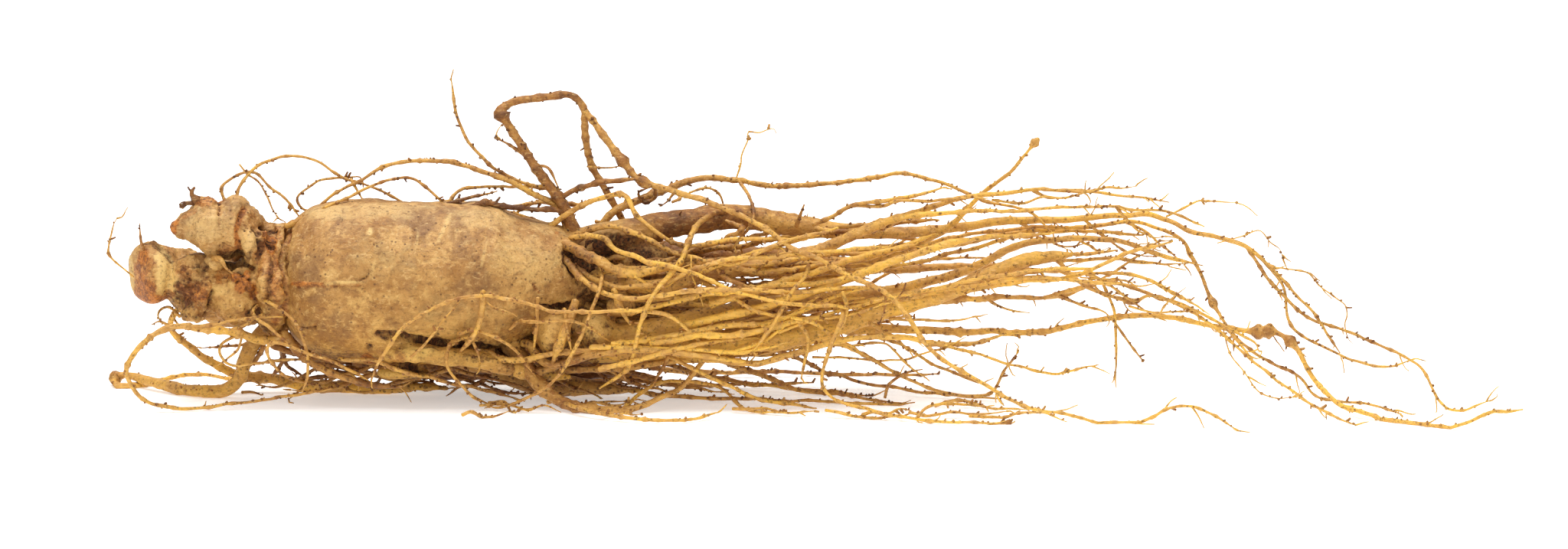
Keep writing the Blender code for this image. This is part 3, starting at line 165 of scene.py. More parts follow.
ROOTLETS = {
    "hoop": ((2.2, 1.9, 1.5, 1.2, 1, 0.9, 0.9), (-7, -13, -17, -19, -18, -16, -13, -12), ((-49, 15),
        (-55.2, 14), (-61.8, 15.7), (-69.2, 16.6), (-73.8, 17.5), (-80.6, 15.2), (-85, 10.4), (-86.3, 6.3),
        (-83.6, 1), (-79.2, -1.3), (-72.2, -2.1), (-64.8, -1.4), (-56.3, -0.6), (-48.9, 0.8),
        (-38.6, 3.2))),
    "hook tip": ((1.7, 1.4, 1.2, 1, 1), (19, 18, 14, 16, 22, 26, 22, 17), ((-88.2, 5.7), (-91.2, 4.6),
        (-90.2, 3), (-83.9, 3.5), (-78.4, 4.7), (-69.9, 5.6), (-60, 4.1), (-52, 3.8))),
    "hoop branch": ((0.9,), (-15, -16, -16, -14), ((-73.8, 17.3), (-67, 17.7), (-59.6, 19.2), (-50, 19.5))),
    "front loop": ((1, 0.9), (-9, -16, -19, -17, -15), ((-55, 23.6), (-53, 22.5), (-47.1, 18.3),
        (-44.3, 12.2), (-44, 5.9), (-45.5, 2.2))),
    "crossed loop": ((1, 0.9), (-9, -16, -19, -19, -13), ((-55.5, 22.8), (-56.7, 20.3), (-51.5, 15.5),
        (-45.6, 11.6), (-38, 8.6), (-30, 5))),
    "drop loop": ((1, 0.9), (-14, -18, -17, -13, -10), ((-47.6, 13.6), (-51.5, 13.9), (-53.4, 12),
        (-52.6, 8.6), (-49.3, 5.2), (-43, 3))),
    "left lace": ((0.9,), (-11, -15, -14, -11), ((-60.5, 15.3), (-64.6, 13), (-64.7, 9.7), (-61.1, 7.7),
        (-51.5, 9.3), (-44, 9.4))),
    "under barrel": ((2, 1.8, 1.6, 1.3), (-8, -12, -13, -12), ((-50, 16), (-47.1, 11.8), (-43.4, 8.6),
        (-37.5, 5.6), (-30, 3.6), (-22, 3.2))),
    "top arc": ((1, 0.8), (-1, 1, 3, 2), ((-63.5, 45.5), (-64.8, 49.8), (-61.9, 52.3), (-57.3, 53.3),
        (-53.3, 50), (-49.7, 47.1), (-46.2, 42))),
    "long top arc": ((1, 0.8), (-2, 2, 4, 5, 3), ((-61.3, 46), (-60.5, 50.2), (-56.9, 54.9), (-49.7, 57.1),
        (-43, 56.3), (-35.8, 52.1), (-29.9, 50.2), (-20.3, 45.2))),
    "cross top root": ((1.6, 1.4, 1.1, 0.9), (1, 2, 4, 5, 3, 1), ((16.5, 38.5), (14.2, 45), (8.3, 48.4),
        (2.9, 51.7), (-4.3, 54), (-13.9, 56.3), (-25.3, 55.3), (-32.9, 51), (-38.8, 47.9), (-44.2, 43.6))),
    "low top arc": ((0.9,), (-3, 0, 2, 0), ((-41, 44.8), (-32.9, 48.7), (-24.5, 51.9), (-18.8, 51.1),
        (-11, 45))),
    "crown root": ((1, 0.9), (0, 3, 5, 4), ((-12, 45), (-9.3, 48.7), (-2.2, 50.1), (10, 49.6),
        (13.6, 48.6))),
    "crown strand": ((1.5, 1.4, 1.2), (-3, -2, -1, 1), ((-7, 44.6), (-2.8, 46.2), (3.9, 44.6), (13.2, 44.7),
        (18, 42.5))),
    "tall wisp": ((1.1, 1, 0.9), (3, 6, 7, 8), ((12.2, 50.3), (8.3, 50.2), (0.8, 53.6), (-5.1, 58.2),
        (-9.5, 66.6), (-11, 75.3))),
    "arch runner": ((1.8, 1.6, 1.5, 1.3, 1.3, 1.2, 1.1, 1, 1, 0.9),
        (7, 2, -4, -8, -14, -18, -22, -28, -34, -30, -32, -40), ((20.4, 68.3), (24.1, 63.5), (29.3, 56.1),
        (34.1, 51), (41.8, 48.9), (51.4, 45.6), (62.4, 40.8), (69.7, 35.3), (81.5, 29.7), (90.4, 25.7),
        (95.9, 20.2), (101.4, 12), (112.5, 4.7), (121.7, -1), (131, -2.3), (141, -5.2), (150, -5),
        (158, -1.2), (165, -2.5), (172, -6.5))),
    "arch twig": ((1, 0.9), (4, 7), ((7.8, 56.1), (3, 59.8), (-0.4, 61.6))),
    "arch spur": ((1, 0.9), (3, 1), ((8.6, 54.9), (12, 54.3), (14.3, 49.5))),
    "arch tie": ((1.5, 1.3), (1, 0, -3), ((14.4, 47.4), (20.8, 50.4), (33.5, 51.2))),
    "mane 1": ((1.6, 1.2, 1.1), (0, -4, -9, -11, -12), ((11.5, 40), (18.9, 45.2), (29.3, 48.2),
        (33.3, 42.5), (43.1, 36.5), (56, 37.2), (70, 38))),
    "mane 2": ((1.5, 1.2, 1), (-4, -10, -14, -14, -12), ((18, 38.5), (28.4, 40.6), (42.4, 34.5),
        (54.5, 32.1), (64.5, 36.3), (78, 39.5))),
    "mane 3": ((1.5, 1.2, 1), (-5, -12, -17, -19, -17), ((17, 38), (24.3, 38.3), (29.1, 34.3), (42.7, 30.6),
        (57.5, 24.7), (68.2, 22.9), (84, 21.5))),
    "top runner": ((2.2, 1.8, 1.5, 1.3, 1.1, 1, 0.9), (3, 9, 13, 13, 10, 6, 2), ((22, 37), (27.1, 43.9),
        (35.5, 48), (48.4, 52.2), (65.5, 50.6), (85.8, 51.6), (95, 53), (102.3, 51.6), (113.4, 47),
        (124.8, 44), (130.1, 39.9))),
    "side loop": ((1,), (10, 2, -3, -3), ((56.5, 50.9), (59.8, 46), (59.8, 41), (56, 36.5))),
    "companion": ((2, 1.6, 1.2), (7, 11, 12, 10), ((46, 42.5), (62, 44.3), (78, 41.3), (100, 37.5))),
    "knee root": ((1.6, 1.4, 1.2, 1.1), (5, 0, -7, -14, -19, -20, -17, -15), ((57, 42.3), (52, 44),
        (46.5, 40), (43, 32), (37, 25), (33.5, 17.5), (31, 8), (24, 2.6))),
    "mid 1": ((1.1, 0.9), (-5, -16, -21, -21, -17, -14), ((24, 32), (24.5, 26.5), (19, 13), (13, 4),
        (5, -0.7), (-2, -1.2))),
    "mid 2": ((1.1, 1), (-16, -19, -21, -21, -22, -22, -20), ((48, 13.5), (40, 20), (30, 20.9), (14, 20.7),
        (0, 24.3), (-10, 23.2), (-20, 18), (-26.5, 10), (-29, 5))),
    "mid 3": ((1, 0.9), (-13, -19.5, -18, -13), ((-9, 18), (-2, 15.6), (4, 12.4), (9, 6))),
    "mid 4": ((1, 0.9), (-11, -20, -20, -15), ((3, 19), (10, 18.6), (19, 18.5), (27, 13))),
    "mid 5": ((1, 0.9), (-12, -20, -16, -12), ((-9, 17), (-11.5, 8.5), (-6, 1), (-2, -1))),
    "mid 7": ((1.6, 1.3, 1.2, 1), (-6, -16, -19, -18, -14), ((15, 34), (22, 27), (33, 23.7), (50, 25.8),
        (68, 25.3), (90, 27))),
    "mid 8": ((1.5, 1.3, 1.1), (-6, -15, -16, -14, -12), ((15, 33), (26, 27.3), (36, 27), (52, 32),
        (70, 34), (92, 35.5))),
    "mid 9": ((2.8, 2.2, 1.6, 1.3, 1.1), (-5, -13, -14, -10, -8), ((15, 37), (23, 33.4), (31, 29.8),
        (45, 31.5), (65, 29.5), (88, 30.5))),
    "low 1": ((2, 1.6, 1.5, 1.3), (-4, -8, -10, -14), ((-14, 13), (-6, 7.6), (15, 6.8), (35, 8),
        (58, 10.5))),
    "low 2": ((1.6, 1.3, 1.1), (-9, -14, -17, -14, -12), ((-4, 14), (2, 9.6), (18, 11.3), (42, 15),
        (65, 20), (86, 24))),
    "low 3": ((2.2, 1.8, 1.4), (-7, -17, -18, -16), ((6, 15), (13, 8.3), (30, 12), (46, 10.5), (60, 8.5))),
    "drop root": ((1.3, 1, 1, 0.9), (-10, -18, -21, -22, -28, -34, -31), ((76, 27), (81.2, 22), (78, 12),
        (76.4, 3.5), (83, -0.9), (99, -4.7), (110, -5), (120, -5.6))),
    "drop fork": ((0.9,), (-29, -26, -18), ((98, -4.5), (102, -1.4), (115, -1.5))),
    "floor 3": ((1.3, 1.1, 1), (-12, -16, -14, -13), ((35, 11.8), (45, 8), (60, 0.7), (75, -1.6))),
    "floor 4": ((1.2, 1), (-10, -15, -10, -6), ((-37, 13), (-24, 7.5), (-8, 3), (4, 0.2))),
    "floor 6": ((1.2, 0.9), (-14, -24, -30, -30, -24), ((15, 0.2), (22, -2.8), (34, -4.6), (44, -4.6),
        (52, -3))),
    "floor 7": ((1.2, 1, 0.9), (-16, -9, -9, -16, -22), ((29, -1.2), (38, 4), (51, 2.8), (58, -2.2),
        (66, -3))),
    "floor 8": ((1.4, 1, 0.9), (4.3, -4, -7, -7, -9), ((27, 2.4), (42, 1), (60, -0.1), (80, -0.9),
        (98, -0.8))),
    "floor 9": ((1.4, 1.2, 0.9), (9, 15, 14, 8, 2), ((32, 14), (42, 7.5), (54, 4.2), (68, 2.6), (88, 1))),
    "floor 10": ((1.6, 1.4, 1, 0.9), (-8, 0, 6, 2, -8), ((46, 13), (56, 7.5), (70, 2.9), (80, 1.2),
        (93, -0.5))),
    "floor 11": ((1.4, 1, 0.9), (-7, 2, 7, 4, -4), ((60, 14), (72, 8.6), (84, 4.5), (97, 2.2), (118, 0.2))),
    "floor 12": ((1.3, 1, 0.9), (-8, -10, -10, -6, -5, -9), ((70, 15), (80, 13), (92, 7), (105, 1.5),
        (115, 0.9), (119, 7), (122.3, 11.3))),
    "floor 13": ((1, 0.9), (1, 7, 11, 10), ((84, 16.4), (95, 13), (104, 7.3), (116, 2.6))),
    "rear floor 1": ((1.8, 1.4, 1.1, 0.9), (8, 18, 27, 30, 28), ((4, 23), (20, 11), (40, 7), (62, 6.2),
        (84, 5.6), (104, 5.6))),
    "rear floor 2": ((1.6, 1.2, 0.9), (21, 26, 20, 14, 16), ((2, 5.6), (14, 5.4), (32, 4.2), (52, 3.4),
        (74, 3.8))),
    "low side leg": ((1.8, 1.6, 1.5, 1.4, 1.2), (-10, -16, -17, -15, -13, -12), ((36, 11.7), (56, 8.7),
        (67, 10), (82, 14), (95, 14.7), (107, 13.3), (118.5, 15))),
    "low side fork": ((1, 0.9), (-14, -16, -15), ((104, 13.8), (114.9, 9.8), (128.6, 6.2), (140, 7.7))),
    "blunt fork 1": ((2, 1.6, 1.3, 1, 0.9), (-8, -4, -1, 0), ((98, 22.8), (113.8, 23.9), (129, 24.1),
        (136.6, 25.6), (144.2, 29.8), (152.2, 34.4))),
    "blunt fork 2": ((1.6, 1.3, 1.1), (-8, -12, -13, -11), ((106, 25), (125.2, 28.1), (138.9, 30.4),
        (149.5, 35.1), (158, 37.6))),
    "blunt fork 3": ((1.4, 1.1, 1, 0.9), (-7, -8, -10, -14, -18), ((131, 33.2), (136.6, 27.5), (148, 23.3),
        (154.1, 24.3), (166.3, 19.5), (176.5, 14.2), (178.4, 11.2))),
    "blunt fork 4": ((1.4, 1.1, 1, 0.9), (-5, -6, -12, -18, -26, -34), ((128.5, 24.1), (142.3, 27.5),
        (157.5, 23.5), (167, 17.6), (176.5, 9.3), (185.2, 2.5), (194.5, -3), (200, -5.2))),
    "hanging root": ((1, 0.9), (-6, -8, -9), ((142, 27.4), (144.8, 20.3), (145.3, 9.3), (144.9, 5.6))),
    "hanging fork": ((0.9,), (-8, -10), ((145.2, 18.2), (147.6, 14.6), (151.4, 9.3))),
    "upper fork": ((1.6, 1.4, 1.2, 1), (4, -1, -7, -8, -6, -4), ((72, 40.5), (85, 39.3), (96, 42.5),
        (110, 44), (136.6, 44.8), (155.6, 44.5), (166, 40))),
    "tip 1": ((1, 0.9), (-2, -5, -10), ((178, 34.2), (186.5, 25.8), (191.8, 20.6), (197.8, 11))),
    "tip 2": ((1, 0.9), (-2, -4, -12, -16), ((179, 33.4), (184.4, 26.5), (186.9, 16.6), (197.8, 10.5),
        (206, 7.9), (213.8, 9.4))),
    "tip 3": ((1.1, 1, 0.9), (-1, -4, -6, -10, -20, -16), ((176, 35.6), (181.8, 27.7), (189.8, 19.9),
        (201.6, 14.9), (215.5, 8.8), (220.8, -0.3), (226.1, -2.6), (232.4, -0.3))),
    "tip 4": ((1, 0.9), (-4, -7, -10, -20), ((171, 16.6), (178.1, 10.9), (187.7, 5.6), (192.4, 0.8),
        (203.7, -0.9), (211.3, -3))),
}
# Rootlets and scraps too fine for the solid.
FINE_ROOTS = {
    "top hair 1": ((0.45,), (6, 3, 0), ((-60.8, 55.3), (-58.8, 52.9), (-56.5, 51.3), (-55, 49.4),
        (-53.7, 47.1), (-52.9, 44.7), (-51.6, 42.4))),
    "neck strand": ((1.4, 1.2), (-3, -2), ((-49.6, 40.6), (-46.4, 42.2), (-43.5, 44))),
    "top hair 2": ((0.55,), (3, 5, 6), ((-42.8, 44.2), (-45.9, 44.9), (-47.2, 47.7), (-43, 50.8),
        (-38.8, 52), (-35.8, 52.2), (-32.9, 52.3), (-32, 51))),
    "top hair 3": ((0.7,), (4, 2), ((-34.6, 51.9), (-32.9, 48.9), (-31.6, 46.4))),
    "crown hair": ((0.9, 0.6), (-1, 1), ((-11.8, 46), (-7.6, 47.1), (-3.4, 48.5), (0, 49.2))),
    "arch hair": ((0.6, 0.4), (7, 9), ((0.6, 61), (-0.4, 62.4), (0.7, 64.7))),
    "arch link": ((0.5,), (6, 3, 0), ((21, 54.8), (25, 54.5), (28.8, 55.1))),
    "fine wisp": ((0.4, 0.3), (13, 15, 17), ((56, 52), (57.1, 55.4), (57.3, 57.6), (58.7, 61.3),
        (58.8, 63.3), (61.5, 62.7), (64.6, 63.5), (65.5, 62.3))),
    "bare twig": ((1, 0.7), (0, -2), ((70.2, 40.5), (71.3, 44), (72, 46))),
    "knotty twig": ((1.1,), (-1, -2), ((80, 40.6), (84, 40.9), (88, 41.6))),
    "cross hair 1": ((0.7, 0.5), (-10, -12), ((92, 19), (97, 18.7), (104, 18.3), (109, 19), (112, 20))),
    "cross hair 2": ((0.6, 0.5), (-9, -11), ((115, 23.5), (118, 21.8), (122, 20.3), (125, 19.8))),
    "long hair 1": ((0.5, 0.4), (-12, -14), ((136.6, 28.7), (146.1, 27.9), (150.3, 26.6), (155.2, 27.5))),
    "long hair 2": ((0.6, 0.4), (-11, -12), ((148, 22), (153.7, 20.6), (161.3, 21), (165, 20.4))),
    "top strand": ((0.6,), (-2, -4), ((116.1, 46.9), (122.9, 46.1), (127.5, 47.4), (132.4, 47.3),
        (138.5, 48.4))),
    "tip hair 1": ((0.4, 0.3), (-3, -6), ((182.5, 31.1), (186.3, 30.5), (190.3, 29), (192.8, 26.3),
        (197.6, 23.1), (199.1, 21.8), (199.4, 19.7), (198.9, 17.6), (199.5, 14.7), (200.8, 13))),
    "tip hair 2": ((0.35, 0.3), (2, 4), ((169.2, 36.8), (175.9, 38.5), (179.3, 39.3), (181.8, 36.6),
        (183.9, 35.1), (184.6, 33.2))),
    "tip hair 3": ((0.6, 0.4), (-2, -4), ((157, 43), (163.2, 45.8), (166.3, 46.1), (173.5, 45.8))),
    "tip hair 4": ((0.4, 0.3), (-13, -20), ((170.1, 16.6), (171.7, 10.9), (174.7, 7.1), (178.1, 2.5),
        (182.7, 0.6), (186.9, 0.8))),
    "up twig": ((0.5, 0.35), (-14, -13), ((155.2, 20.2), (156.8, 22.6), (161.3, 26.4))),
    "mid 6": ((0.7,), (-12, -18, -18), ((-13.5, 11.5), (-9, 14), (-6, 14.3), (-4.2, 11.5), (-3.6, 9))),
    "mid 11": ((1.4, 1.1), (-15, -17), ((27.5, 26), (28.5, 23), (30, 20), (31.5, 17.5))),
    "mid 14": ((1.8, 1.4), (-11, -16, -15), ((9, 6), (16, 9), (22, 11), (30, 12), (38, 11.5), (43, 10.2))),
    "floor 14": ((0.6, 0.4), (-8, -14), ((74, 10), (82, 9.7), (90, 9), (96, 9.3), (100, 11), (105, 12),
        (110, 14.7))),
    "floor 15": ((0.6, 0.5), (-8, -14), ((82, 12.5), (90, 13.3), (93, 11.5), (96, 8.5), (100, 6))),
    "pressed 1": ((1.3, 1.1), (-20.2, -20.4, -19.6, -15), ((-2.9, 25.6), (-3, 22), (-4, 17), (-6, 14),
        (-8.6, 11))),
    "pressed 2": ((0.9, 0.8), (-19.2, -18, -14), ((9.9, 24), (9.6, 20), (9.5, 17), (8.8, 11.5))),
    "pressed 3": ((1.8, 2.2, 1.8), (-16, -17, -15), ((18.6, 23.4), (17.6, 20), (16, 16), (14.2, 11.5),
        (13, 8.5))),
    "pressed 4": ((0.8,), (-17, -18, -16), ((16, 21.5), (16.6, 17), (17.6, 12))),
    "pressed 5": ((0.4,), (-19.5, -20.5), ((-2.6, 23.4), (-0.5, 21.8), (3.3, 20.6), (5, 19.6))),
    "slant hair": ((0.6,), (-19, -21, -19), ((-20, 10), (-16.6, 13), (-12.8, 17.4), (-9.6, 21.6))),
    "rhizome wisp 1": ((0.7, 0.45), (-5, -6), ((-82.9, 35), (-83.5, 37.6), (-83.7, 41.5))),
    "rhizome wisp 2": ((0.42,), (-4, -6), ((-85.4, 28.8), (-90.5, 33.5), (-91, 36), (-89.9, 41),
        (-89, 42.6))),
    "rhizome sprig 1": ((0.7, 0.5), (-3, -5, -8), ((-74.6, 19.4), (-77, 21.8), (-78.9, 21.2), (-79.4, 19.4),
        (-78.2, 17.6))),
    "rhizome sprig 2": ((0.6,), (-4, -7), ((-76.4, 20.6), (-75.6, 18.6), (-74.4, 17.3))),
    "rhizome sprig 3": ((0.7, 0.5), (-6, -10), ((-77, 17.4), (-79.2, 18.4), (-80.8, 17.6))),
    "loop hair 1": ((0.6,), (-10, -16), ((-52.3, 22.2), (-54.5, 20.3), (-56.7, 19.2), (-58.9, 17.7),
        (-63, 16.8))),
    "loop hair 2": ((0.6,), (-15, -14), ((-59.6, 14.4), (-60.5, 11.8), (-62.6, 10), (-65, 8.5))),
    "loop hair 3": ((0.8, 0.6), (1, 4), ((-60.5, 1.6), (-58.4, 1.7), (-56.6, 1.2), (-55.6, 0.6))),
    "dark root 1": ((1.7, 1.4), (-6, -2, 2), ((-54, 14), (-52.3, 12.6), (-47.1, 11.1), (-43.4, 10),
        (-36, 8.6))),
    "dark root 2": ((1.2, 1), (-2, 4, 9), ((-55, 12.6), (-57, 9.6), (-60.8, 6.8), (-64, 5.6))),
    "dark root 3": ((1, 0.8), (0, 3, 8), ((-51, 13), (-50.6, 9.4), (-52.4, 6.6), (-54, 5.4))),
    "dark root 4": ((1.4, 1), (2, 4, 7), ((-45, 11), (-40, 7.8), (-33, 6.6), (-24, 4.4), (-16, 3.6))),
    "dark root 5": ((1.2, 0.9), (4, 6, 9), ((-33, 8), (-36, 6), (-42, 5.2), (-48, 4.6))),
    "dark root 6": ((1.2, 0.8), (6, 9, 12), ((-30, 9), (-33.4, 6.8), (-36.4, 4.4), (-38.4, 4.2))),
    "dark root 7": ((1.5, 1.2), (4, 6, 6), ((-54, 18), (-50, 15.4), (-46, 12), (-41, 9.6), (-34, 8))),
    "dark root 8": ((1.2, 0.9), (7, 8, 9), ((-56, 15), (-51, 13.6), (-46, 10), (-40, 7), (-33, 5.6))),
    "dark root 9": ((1.3, 0.9), (2, 7, 9), ((-47, 17), (-51, 12), (-50, 8), (-46, 5.6))),
    "dark drop": ((0.9, 0.6), (-14, -16), ((40.4, 10.6), (39.2, 8), (37.6, 5.6), (36.4, 3.4))),
    "short drop": ((1, 0.8, 0.6), (-15, -18, -19), ((70.2, 18.8), (72.6, 15.5), (72.8, 12.7), (72.1, 9.3),
        (71.2, 5.3))),
    "fine drop": ((0.45, 0.4), (-14, -17, -17), ((45.6, 34), (45.8, 29.7), (47.5, 25.5), (48.4, 22.1))),
    "brown finger": ((0.8, 1, 1.2), (-13, -16, -16), ((51, 31.6), (53.2, 28.8), (55.5, 27.4),
        (58.9, 26.6))),
    "cross strand": ((0.8, 0.9, 0.8), (-12, -18, -19, -17), ((73.1, 31.6), (72.1, 28.8), (69.3, 25.5),
        (65.5, 18.8), (62.7, 14.6), (59.8, 10.8))),
    "dark whisker 1": ((0.45,), (-15, -16), ((91, 25), (90.9, 21.7), (89.7, 17.9))),
    "dark whisker 2": ((0.45,), (-12, -13), ((95.8, 27.4), (95.2, 25.6), (93.9, 24))),
    "dark curl": ((0.7, 0.6), (-8, -11, -12), ((91, 0.5), (92, 3.7), (95.8, 6), (99.6, 7))),
    "slope strand": ((0.9, 0.7), (-12, -14), ((87.3, 18.1), (92, 15), (95.8, 12.2), (97.7, 11.2))),
    "nest curl 1": ((0.9, 0.8), (4, 8, 7), ((33, 51), (36.5, 50.4), (36.8, 47.6), (34.4, 46.2), (33, 48.6),
        (35, 49.6))),
    "nest curl 2": ((0.7, 0.6), (2, 5, 4), ((41, 46.4), (43, 47.4), (41.4, 48.6), (39.8, 46.8),
        (38, 45.2))),
    "nest curl 3": ((0.9, 1.2, 1), (-2, -5, -4), ((53.6, 42), (56, 41), (57.6, 40.2), (56.2, 38.6),
        (54, 38.2), (52.6, 36.6))),
    "nest curl 4": ((0.6, 0.5), (2, 6, 7), ((45, 48.6), (49, 49.8), (52, 48.6), (53, 46), (52.8, 43.6))),
    # The under roots fill the dark space beneath the barrel: their dark tones are painted shade.
    "under root 1": ((3.4, 3, 2.6), (0, 2, 4), ((-34, 9.6), (-24, 8.2), (-12, 7.6), (0, 7.4), (12, 7.2))),
    "under root 2": ((2.6, 2.4, 2), (6, 8, 8), ((-28, 6.2), (-14, 5.8), (0, 5.6), (14, 5.6), (28, 5.6))),
    "under root 3": ((3, 2.8, 2.2), (-4, -3, -2), ((-16, 9.8), (-4, 9.4), (8, 9.8), (20, 9.6), (32, 8.6))),
    "under root 4": ((2.2, 2, 1.6), (10, 12, 13), ((-36, 8.4), (-20, 8.6), (-6, 9), (8, 8.2), (24, 7.4))),
    "under root 5": ((3, 2.6, 2), (-6, -5, -5), ((6, 11.8), (14, 11.4), (24, 10.4), (34, 9.6))),
    "under root 6": ((3, 2.6), (3, 4, 4), ((-14, 11.4), (-4, 11.6), (6, 11.4), (14, 11))),
    "cover 1": ((1.6, 1.4), (-17, -17, -15), ((36, 13.3), (48, 14.8), (58, 15.6), (68, 18), (80, 19.4))),
    "cover 2": ((1.4, 1.2), (-17, -16, -14), ((27, 13), (40, 14.6), (52, 17), (62, 18.2), (72, 19.4))),
    "cover 3": ((2.2, 2, 1.6), (-14, -14, -12, -10), ((44, 17.2), (54, 19.8), (63, 22), (72, 25.2),
        (81, 28), (91, 31.6), (102, 35.4), (112, 38))),
    "cover 4": ((2, 1.6, 1.3), (-13, -13, -11, -8), ((50, 22.4), (58, 25), (66, 27.2), (76, 30.6),
        (86, 33.6), (98, 36.4))),
    "cover 5": ((1, 0.9), (-17, -16), ((81, 25.4), (82, 21.5), (81, 18), (79.8, 15.4))),
    "cover 6": ((0.9, 0.8), (-17, -15), ((69, 19.4), (75, 17.8), (79.6, 14), (84, 12.4))),
    "cover 7": ((1.1, 0.9), (-13, -12, -10), ((45, 30.6), (54, 32.2), (62, 35), (70, 37.4), (80, 40))),
    "cover 8": ((1, 0.8), (-14, -13), ((41, 28.8), (50, 30.6), (58, 33.8), (66, 35.6))),
    "cover 9": ((1.3, 1.1), (-15, -15, -13), ((30, 20.2), (40, 22.4), (50, 24.6), (62, 26.4), (74, 26.8),
        (84, 28.6))),
    "cover 10": ((1.2, 1), (-18, -17), ((22, 12.4), (34, 12.6), (46, 11.6), (56, 11.2), (66, 12.8))),
    "cover 11": ((1.2, 0.9), (-19, -18, -15), ((24, 7.2), (33, 9.4), (42, 11.6), (52, 13.8), (60, 14.6))),
    "cover 12": ((0.9, 0.7), (-17, -16, -14), ((56, 11.4), (62, 13.6), (66, 16.6), (72, 21.6), (77, 24.4))),
    "cover 13": ((1, 0.8), (-16, -14), ((62, 17.4), (70, 19.8), (79, 24), (88, 26.6))),
    "cover 14": ((0.9, 0.7), (-16, -15), ((66, 15.8), (74, 19), (84, 21.4), (95, 24.4))),
    "cover 15": ((1.4, 1.2), (-9, -9, -7), ((58, 30.6), (68, 30.4), (78, 31.8), (90, 34.4), (102, 38.8))),
    "cover 16": ((0.8, 0.7), (-15, -14), ((32.4, 29), (36.6, 26.4), (40, 26.6), (42.4, 28))),
    "upper strand 1": ((1, 0.8), (-2, -4), ((74, 41), (79, 43.2), (84, 45.6), (92, 46.9), (100, 48.4),
        (104, 49.6))),
    "upper strand 2": ((0.8, 0.7), (-3, -5), ((83, 45.6), (90, 45.4), (94, 46.8), (100, 47), (112, 47.3))),
    "torn scrap": ((1.7, 2.5, 1.8, 0.8), (-3, -4, -4), ((-69.6, 45.4), (-70.6, 47), (-71.6, 48.4),
        (-70.8, 50))),
    "torn curl": ((1.2, 0.8, 0.5), (-4, -6), ((-70.6, 46), (-72.8, 46.1), (-74, 45), (-74, 46.2),
        (-73.2, 46.6))),
    "torn flap": ((1.6, 1.2, 0.6), (-9, -11.5, -12), ((-66.4, 33), (-64.6, 33), (-63.2, 31),
        (-61.6, 29.6))),
}

# Roots, each with the rootlets whose first point is drawn onto its line, and how far along a rootlet that is
# felt.
BRANCHES = {
    "blunt leg": ("blunt fork 1", "blunt fork 2", "blunt fork 3", "floor 3", "floor 10", "floor 11",
        "floor 12", "low side leg"),
    "blunt fork 1": ("blunt fork 4",), "blunt fork 4": ("hanging root",), "hanging root": ("hanging fork",),
    "upper leg": ("upper fork", "tip 1", "tip 2", "tip 3", "companion", "knee root"),
    "long leg": ("tip 4", "floor 9", "floor 13"), "lower leg": ("drop root",), "drop root": ("drop fork",),
    "front prop root": ("floor 7", "floor 6"), "prop root": ("floor 8",),
    "low side leg": ("low side fork",),
    "arch": ("arch twig", "arch spur", "arch tie", "arch runner", "tall wisp"),
    "hoop": ("hoop branch", "left lace"), "crossed loop": ("drop loop",), "hook root": ("hook tip",),
    "top runner": ("side loop",), "rear prop root": ("rear floor 2",),
}
PARENTS = {name: root for root, names in BRANCHES.items() for name in names}
DRAW_IN = 14.0
# Legs that are slimmer than the solid's: (from x, to x, share of the girth that is left).
SLIMMER = {
    "speckled leg": (78, 104, 0.62), "middle leg": (98, 114, 0.62), "upper fork": (96, 120, 0.8),
    "front prop root": (14, 26, 0.75), "rear leg": (110, 140, 0.85),
}
# Girths of the solid's thin roots, and their true girths. Past TIPS_FROM every root thins by TIP_THINNING.
GIRTHS = ((0.86, 1, 1.3, 2, 4), (0.6, 0.76, 1.12, 1.9, 4))
TIPS_FROM = (96.0, 130.0)
TIP_THINNING = 0.1
# Small knots: (root, x, seen height, diameter), placed on the root's own line.
KNOTS = (
    ("long leg", 178.1, 15.9, 3.2), ("long leg", 181.4, 16.2, 2.9), ("long leg", 185.8, 13.6, 2.5),
    ("middle leg", 126.4, 60.2, 2.4), ("rear leg", 167.6, 22.6, 2.3), ("drop root", 120, -5.6, 2),
    ("arch runner", 29.3, 56.1, 2.6), ("arch runner", 34.1, 51, 3), ("arch", 0.9, 67.1, 2.8),
    ("blunt fork 3", 148.2, 23.3, 2), ("hook tip", -91.2, 4.6, 2.3), ("upper leg", 182.3, 30.7, 2),
)

# The bundle of strands: (x, middle depth, half depth, middle height, half height), true heights. It begins
# at SHEAF_START and is SHEAF_LENGTH long.
SHEAF = (
    (16, 1, 8, 27, 8), (30, 1, 12, 26, 12), (60, 2, 18, 24, 15), (95, 2, 20, 27, 15), (125, 1, 20, 33, 13),
    (150, -2, 20, 33, 13), (180, -6, 24, 20, 12),
)
SHEAF_START = 14.0
SHEAF_LENGTH = 165.0

# How far each leg's thick end is melted into the skin, along its route.
LEG_BASES = {
    "upper leg": 34, "hidden leg": 26, "speckled leg": 20, "lower leg": 30, "middle leg": 20,
    "blunt leg": 34, "rear leg": 24, "long leg": 22, "arch": 8, "left under leg": 46, "prop root": 36,
    "rear prop root": 34, "front prop root": 18, "hook root": 20,
}
# Along a leg, where its skin begins to turn to bark and where it has turned.
BARK_GROWS = {
    "others": (6, 28), "arch": (-6, 0), "front prop root": (0, 10), "upper leg": (8, 26),
    "hook root": (2, 20), "hidden leg": (0, 10), "left under leg": (20, 46), "lower leg": (8, 30),
}
